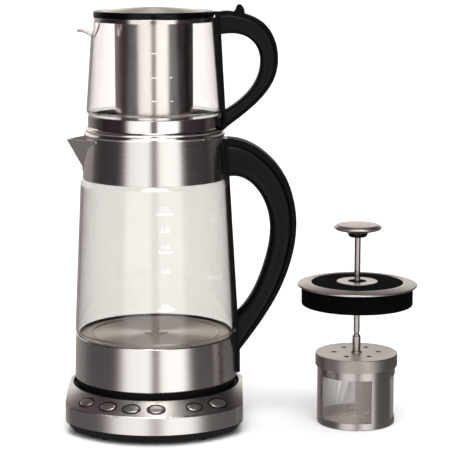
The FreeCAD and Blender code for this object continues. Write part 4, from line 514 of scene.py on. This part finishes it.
def moulded_silicone():
    """Food-grade silicone of the glass seals: milky, soft, slightly translucent."""
    material, tree, shader = new_material("moulded_silicone", Roughness=0.5, IOR=1.41,
                                          Subsurface_Weight=0.3, Subsurface_Scale=4 * MM)
    place = add(tree, "ShaderNodeTexCoord").outputs["Object"]
    cloud = add(tree, "ShaderNodeTexNoise", {"Scale": 1 / (6 * MM), "Detail": 2.0},
                {"Vector": place})
    tone = add(tree, "ShaderNodeMix",
               {"data_type": "RGBA", 6: linear("#C9C6C0"), 7: linear("#DEDBD5")},
               {0: cloud.outputs[0]})
    tree.links.new(tone.outputs[2], shader.inputs["Base Color"])
    return material


def circuit_board():
    """FR-4 board under green solder mask, with a copper pour that shows as lighter fields."""
    material, tree, shader = new_material("solder_mask_green", Roughness=0.32, IOR=1.55)
    place = add(tree, "ShaderNodeTexCoord").outputs["Object"]
    pour = add(tree, "ShaderNodeTexBrick",
               {"Scale": 1 / (9 * MM), "Mortar Size": 0.03, "Color1": linear("#1F6B3C"),
                "Color2": linear("#1A5A33"), "Mortar": linear("#123D24")}, {"Vector": place})
    tree.links.new(pour.outputs[0], shader.inputs["Base Color"])
    return material


def printing_ink(name, colour):
    """Screen-printed enamel ink: opaque and matt, with slightly uneven cover."""
    material, tree, shader = new_material(name, Roughness=0.55)
    place = add(tree, "ShaderNodeTexCoord").outputs["Object"]
    cover = add(tree, "ShaderNodeTexNoise", {"Scale": 1 / (0.7 * MM), "Detail": 2.0},
                {"Vector": place})
    tone = add(tree, "ShaderNodeMix",
               {"data_type": "RGBA", 6: shade(colour, 0.9), 7: linear(colour)},
               {0: cover.outputs[0]})
    tree.links.new(tone.outputs[2], shader.inputs["Base Color"])
    return material


def finish_solids():
    steel = "#D8D3CF"
    give(brushed_stainless("brushed_stainless_base", KETTLE_AXIS, 0.5, 26, 0.36, steel,
                           by_radius=False), "base_cover")
    give(brushed_stainless("brushed_stainless_kettle", KETTLE_AXIS, 0.45, 34, 0.25, steel),
         "kettle_base_ring", "neck_ring")
    give(brushed_stainless("brushed_stainless_lid", KETTLE_AXIS, 0.6, 20, 0.34, "#DAD3CC"),
         "lid_dome")
    give(blasted_cover(), "basket_cap")
    give(polished_stainless("blasted_stainless", "#C9C2BC", 0.3), "float_rim", "float_washer",
         "plunger_knob")
    give(brushed_stainless("spun_heating_plate", KETTLE_AXIS, 0.5, 40, 0.4, "#F0EAE4"),
         "heating_plate")
    give(polished_stainless("satin_stainless", "#CBC4BE", 0.26), "kettle_spout",
         "kettle_handle_screws", "base_screws", "basket_strainer")
    give(polished_stainless("polished_stainless", "#DED9D5", 0.07), "neck_collar",
         "pot_base_band", "infuser_flange", "hinge_pin")
    give(polished_stainless("satin_stainless_infuser", "#E2DDD9", 0.17), "tea_infuser")
    give(polished_stainless("polished_stainless_basket", "#B0A9A5", 0.24), "basket_frame",
         "rod_socket", "plunger_rod")
    give(cast_aluminium(), "heating_element", "temperature_sensor")
    give(turned_brass(), "contact_ring")
    give(blown_borosilicate("borosilicate_kettle", "#E7E5E2"), "kettle_glass")
    give(blown_borosilicate("borosilicate_teapot", "#FAF7F6"), "pot_glass")
    give(moulded_plastic("satin_black_abs", "#090708", 0.38, 0.6, 0.03), "kettle_handle_grip",
         "pot_handle_grip")
    give(moulded_plastic("matt_black_silicone", "#040404", 0.9, 0.8, 0.03, 0.06), "float_skirt")
    give(moulded_plastic("matt_black_pp", "#080707", 0.6, 0.8, 0.05), "base_tray",
         "kettle_bottom_cover", "kettle_socket", "base_plug", "base_pan", "mains_gland")
    give(moulded_plastic("gloss_black_abs", "#070506", 0.2, 1.2, 0.006), "kettle_handle_frame",
         "pot_handle_frame", "lid_rim", "lid_lever", "knob_collar")
    give(moulded_plastic("spine_black_abs", "#070506", 0.5, 1.2, 0.01, 0.1),
         "kettle_handle_spine", "pot_handle_spine")
    give(moulded_plastic("moulded_rubber", "#1B1A1A", 0.8, 1.0, 0.06), "base_feet",
         "float_grommet")
    give(metallised_cap(), *[name for name in nodes if name.startswith("button_")])
    give(moulded_silicone(), "lower_seal", "upper_seal")
    give(circuit_board(), "control_board")


# ---- woven gauze of the tea basket --------------------------------------------------------------
# Real gauze has about 0.5 mm between wires. It is woven coarser here so that it can be seen.
GAUZE_R = 33.8 * MM
GAUZE_PITCH = 1.15 * MM
GAUZE_WIRE_R = 0.185 * MM
GAUZE_LOW_Z, GAUZE_HIGH_Z = 2.0 * MM, 50.5 * MM
WIRE_SIDES = 4


def tube_mesh(name, paths, closed):
    """Wires as tubes: each path is a list of points, with two directions square to the wire."""
    verts, faces = [], []
    for path in paths:
        start, n = len(verts), len(path)
        for point, out, across in path:
            for k in range(WIRE_SIDES):
                a = 2 * math.pi * k / WIRE_SIDES
                verts.append(point + GAUZE_WIRE_R * (math.cos(a) * out + math.sin(a) * across))
        for i in range(n if closed else n - 1):
            here, there = start + i * WIRE_SIDES, start + (i + 1) % n * WIRE_SIDES
            for k in range(WIRE_SIDES):
                m = (k + 1) % WIRE_SIDES
                faces.append((here + k, here + m, there + m, there + k))
        if not closed:
            faces.append(tuple(start + k for k in reversed(range(WIRE_SIDES))))
            faces.append(tuple(start + (n - 1) * WIRE_SIDES + k for k in range(WIRE_SIDES)))
    mesh = bpy.data.meshes.new(name)
    mesh.from_pydata(verts, [], faces)
    mesh.polygons.foreach_set("use_smooth", [True] * len(mesh.polygons))
    return bpy.data.objects.new(name, mesh)


def weave_gauze():
    around = 2 * round(math.pi * GAUZE_R / GAUZE_PITCH)
    rows = round((GAUZE_HIGH_Z - GAUZE_LOW_Z) / GAUZE_PITCH)
    up = Vector((0, 0, 1))

    def at(turn, z, outwards):
        angle = 2 * math.pi * turn / around
        out = Vector((math.sin(angle), -math.cos(angle), 0))
        return BASKET_AXIS + (GAUZE_R + outwards) * out + z * up, out, up.cross(out)

    def lift(wire, half_step):
        """How far out an upright runs: over a hoop, level half way on, under the next hoop."""
        if half_step % 2:
            return 0.0
        return GAUZE_WIRE_R if (wire + half_step // 2) % 2 else -GAUZE_WIRE_R

    uprights = [[at(i, GAUZE_LOW_Z + j * GAUZE_PITCH / 2, lift(i, j)) for j in range(2 * rows + 1)]
                for i in range(around)]
    hoops = []
    for j in range(rows + 1):
        path = []
        for i in range(2 * around):
            point, out, _ = at(i / 2, GAUZE_LOW_Z + j * GAUZE_PITCH, -lift(j, i))
            path.append((point, up, out))
        hoops.append(path)
    wire = polished_stainless("woven_stainless_wire", "#D2CAC4", 0.28)
    for name, paths, closed in (("gauze_uprights", uprights, False), ("gauze_hoops", hoops, True)):
        gauze = tube_mesh(name, paths, closed)
        bpy.context.collection.objects.link(gauze)
        gauze.data.materials.append(wire)
        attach(gauze, "basket")
        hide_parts("basket_mesh")


# ---- print --------------------------------------------------------------------------------------
INK = 0.05 * MM          # thickness of a print
INK_LIFT = 0.02 * MM     # its back stands just clear of what it is printed on
FIGURE_SHARE = 0.72      # height of a figure over the font's size
LOOK_OUT, LOOK_UP = 0.2, 0.1     # m, how far off the artwork is laid on a wall and on the panel
PANEL_TILT = 25.6        # degrees
PANEL_FORESHORTENED = math.cos(math.radians(PANEL_TILT))


def bar(x0, x1, y0, y1, pieces=10):
    """Corners and faces of a flat bar, cut across so that it can bend."""
    verts = [(x0 + (x1 - x0) * i / pieces, y) for i in range(pieces + 1) for y in (y0, y1)]
    faces = [(2 * i, 2 * i + 2, 2 * i + 3, 2 * i + 1) for i in range(pieces)]
    return verts, faces


def digits(words, height, y=0.0):
    """Plain upright numbers, centred, standing on y."""
    curve = bpy.data.curves.new("digits", "FONT")
    curve.body = words
    curve.align_x = "CENTER"
    curve.size = height / FIGURE_SHARE
    curve.resolution_u = 3
    text = bpy.data.objects.new("digits", curve)
    bpy.context.collection.objects.link(text)
    mesh = bpy.data.meshes.new_from_object(text)
    verts = [(v.co.x, v.co.y + y) for v in mesh.vertices]
    faces = [tuple(p.vertices) for p in mesh.polygons]
    bpy.data.objects.remove(text)
    bpy.data.curves.remove(curve)
    bpy.data.meshes.remove(mesh)
    return verts, faces


def arc_bar(radius, width, start, end, pieces=20):
    """Part of a ring, from start to end in degrees from upright."""
    verts = []
    for i in range(pieces + 1):
        a = math.radians(start + (end - start) * i / pieces)
        for r in (radius - width / 2, radius + width / 2):
            verts.append((r * math.sin(a), r * math.cos(a)))
    return verts, [(2 * i, 2 * i + 1, 2 * i + 3, 2 * i + 2) for i in range(pieces)]


def print_on(name, node, body, ink, artwork, look, thick=INK):
    """Lays flat artwork on a solid. look(x, y) says where a ray starts and which way it goes."""
    solid = nodes[node].data
    skin = BVHTree.FromPolygons([v.co for v in solid.vertices],
                                [tuple(p.vertices) for p in solid.polygons])
    print_mesh = bmesh.new()
    for verts, faces in artwork:
        layers = []
        for height in (INK_LIFT, INK_LIFT + thick):
            layer = []
            for x, y in verts:
                start, way = look(x, y)
                hit, normal, _, _ = skin.ray_cast(start, way)
                if normal.dot(way) > 0:
                    normal = -normal
                layer.append(print_mesh.verts.new(hit + normal * height))
            layers.append(layer)
        low, high = layers
        for face in faces:
            print_mesh.faces.new([high[i] for i in face])
            print_mesh.faces.new([low[i] for i in reversed(face)])
        edges = dict.fromkeys(edge for face in faces for edge in zip(face, face[1:] + face[:1]))
        for a, b in edges:
            if (b, a) not in edges:      # an outer edge gets a wall
                print_mesh.faces.new((low[a], low[b], high[b], high[a]))
    bmesh.ops.recalc_face_normals(print_mesh, faces=print_mesh.faces)
    mesh = bpy.data.meshes.new(name)
    print_mesh.to_mesh(mesh)
    print_mesh.free()
    mesh.materials.append(ink)
    print_object = bpy.data.objects.new(name, mesh)
    bpy.context.collection.objects.link(print_object)
    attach(print_object, body)


def round_wall(angle, radius):
    """Looks at a wall from outside: x runs round it from an angle off the front, y is height."""
    def look(x, y):
        a = math.radians(angle) + x / radius
        out = Vector((math.sin(a), -math.cos(a), 0))
        return KETTLE_AXIS + out * LOOK_OUT + Vector((0, 0, y)), -out
    return look


def on_slope(angle, radius):
    """Looks down on the panel: x runs round it, y goes up the slope."""
    def look(x, y):
        a = math.radians(angle) + x / radius
        out = Vector((math.sin(a), -math.cos(a), 0))
        place = KETTLE_AXIS + out * (radius - y * PANEL_FORESHORTENED)
        return place + Vector((0, 0, LOOK_UP)), Vector((0, 0, -1))
    return look


# litres, mm up, mm from there to the figures' feet, mm half width of the row under them, its kind
KETTLE_LEVELS = ((0.5, 114.3, 2.7, 7.0, "scale"), (1.0, 146.5, 0.9, 0.0, None),
                 (1.2, 164.6, 4.2, 5.8, "scale"), (1.5, 182.9, 0.9, 5.0, "line"),
                 (1.7, 197.6, 3.9, 7.0, "scale"))
FIGURE_H = 3.2 * MM
ROW_LINE, ROW_TOP, ROW_TICK = 0.35 * MM, 2.2 * MM, 0.4 * MM
ROW_STEP = 1.4           # mm from one tick of a row to the next, at least
ROW_INSET = 0.3          # mm from a row's end to the middle of its last tick
LEVELS_AT, KETTLE_PRINT_R = 9.8, 68 * MM     # degrees off the front; radius of the glass there
TEAPOT_LEVELS = ((335.3, 1), (314.6, 2), (294.7, 2))     # mm up, how many of the marks below
TEAPOT_MARKS = ((0.2 * MM, 4.4 * MM), (15.8 * MM, 18.0 * MM))    # how far round from the front
TEAPOT_LINE, TEAPOT_PRINT_R = 0.5 * MM, 57 * MM


def print_level_marks():
    white = printing_ink("white_glass_ink", "#FBFBF8")
    art = []
    for litres, z, feet, half_w, row in KETTLE_LEVELS:
        y = z * MM
        art.append(digits(f"{litres:.1f}L", FIGURE_H, y + feet * MM))
        if row:
            art.append(bar(-half_w * MM, half_w * MM, y, y + ROW_LINE))
        if row == "scale":
            count = int(2 * half_w / ROW_STEP)
            for k in range(count):
                x = (k / (count - 1) - 0.5) * 2 * (half_w - ROW_INSET) * MM
                art.append(bar(x - ROW_TICK / 2, x + ROW_TICK / 2, y + ROW_LINE, y + ROW_TOP, 1))
    print_on("kettle_level_marks", "kettle_glass", "kettle", white, art,
             round_wall(LEVELS_AT, KETTLE_PRINT_R))
    art = []
    for z, marks in TEAPOT_LEVELS:
        y = z * MM
        for x0, x1 in TEAPOT_MARKS[:marks]:
            art.append(bar(x0, x1, y - TEAPOT_LINE / 2, y + TEAPOT_LINE / 2))
    print_on("teapot_level_marks", "pot_glass", "teapot", white, art,
             round_wall(0.0, TEAPOT_PRINT_R))


PANEL_LABELS = ((-43.5, "60"), (-27.2, "90"), (-11.6, "80"), (4.0, "100"))   # degrees C
LABEL_R = 77.8 * MM       # their feet, on the slope
LABEL_H = 2.0 * MM
START_MARK_AT = 25.0      # degrees off the front
START_MARK = ((-0.9, 0.0), (1.0, 1.1), (-0.9, 2.2))    # mm
POWER_MARK_AT, POWER_MARK_R = 45.8, 78.0 * MM     # degrees, and its middle from the axis
POWER_RING_R, POWER_LINE = 0.9 * MM, 0.28 * MM
POWER_GAP = 35            # degrees either side of upright
POWER_STROKE = (0.2 * MM, 1.4 * MM)


def print_panel():
    dark = printing_ink("grey_panel_ink", "#4A4345")
    for angle, words in PANEL_LABELS:
        print_on("label_" + words, "base_cover", "base", dark,
                 [digits(words + " \u00b0C", LABEL_H)], on_slope(angle, LABEL_R))
    triangle = ([(x * MM, y * MM) for x, y in START_MARK], [(0, 1, 2)])
    print_on("label_start", "base_cover", "base", dark, [triangle],
             on_slope(START_MARK_AT, LABEL_R))
    power = [arc_bar(POWER_RING_R, POWER_LINE, POWER_GAP, 360 - POWER_GAP),
             bar(-POWER_LINE / 2, POWER_LINE / 2, *POWER_STROKE, 1)]
    print_on("label_power", "base_cover", "base", dark, power,
             on_slope(POWER_MARK_AT, POWER_MARK_R))


KEYS = (("warm", -43.5, 7.1), ("coffee", -27.2, 7.1), ("tea", -12.4, 7.1), ("boil", 2.2, 7.1),
        ("start", 25.0, 6.6), ("power", 41.3, 8.0))    # degrees off the front, half width in mm
KEY_OVAL = 0.72           # height of a key over its width
KEYS_AT_R = 85.2 * MM
# a ring of painted shade round each key, standing for the shaded gap between key and panel
GAP_SHADE_INSIDE, GAP_SHADE_W, GAP_SHADE_H = 0.5 * MM, 0.75 * MM, 0.3 * MM      # its gap to the key, width, height
GAP_SHADE_STEPS = 64


def at_key(angle):
    """Looks down on a key: x is square to the line from the axis, y goes up the slope."""
    a = math.radians(angle)
    out, along = Vector((math.sin(a), -math.cos(a), 0)), Vector((math.cos(a), math.sin(a), 0))

    def look(x, y):
        place = KETTLE_AXIS + out * (KEYS_AT_R - y * PANEL_FORESHORTENED) + along * x
        return place + Vector((0, 0, LOOK_UP)), Vector((0, 0, -1))
    return look


def shade_the_key_gaps():
    """Painted shade of the gap round each key: a thin black ring laid on the panel, which draws the
    key's dark outline.
    """
    # painted shade: black laid on the panel round each key, where the gap is in shade
    silicone = moulded_plastic("black_silicone_lip", "#040404", 0.7, 0.8, 0.02, 0.06)
    nexts = [(i, (i + 1) % GAP_SHADE_STEPS) for i in range(GAP_SHADE_STEPS)]
    faces = [(2 * i, 2 * i + 1, 2 * j + 1, 2 * j) for i, j in nexts]
    for name, angle, half_w in KEYS:
        verts = []
        for i in range(GAP_SHADE_STEPS):
            a = math.tau * i / GAP_SHADE_STEPS
            for more in (GAP_SHADE_INSIDE, GAP_SHADE_INSIDE + GAP_SHADE_W):
                verts.append(((half_w * MM + more) * math.sin(a),
                              (half_w * KEY_OVAL * MM + more) * math.cos(a)))
        print_on("key_lip_" + name, "base_cover", "base", silicone,
                 [(verts, faces)], at_key(angle), GAP_SHADE_H)


FRONT_LAMP, FRONT_LAMP_WIDTH = 2.0, 40.0     # strength, degrees
FRONT_LAMP_TILT = math.radians(60)           # from right overhead to the front, where it stands
FRONT_LAMP_LIGHTS = ("gauze", "label", "kettle_level", "teapot_level")


def light_the_print():
    """A weak soft lamp from the front for print and gauze, which the steel doesn't mirror."""
    pieces = [piece for piece in bpy.context.scene.objects
              if piece.name.startswith(FRONT_LAMP_LIGHTS)]
    lamp = lamp_for(pieces, "front_lamp", FRONT_LAMP, FRONT_LAMP_WIDTH)
    lamp.rotation_euler = (FRONT_LAMP_TILT, 0.0, 0.0)
    lamp.visible_glossy = False


# ---- the scene ----------------------------------------------------------------------------------
place_camera()
lay_floor()
studio_world()
finish_solids()
weave_gauze()
print_level_marks()
print_panel()
shade_the_key_gaps()
light_the_print()
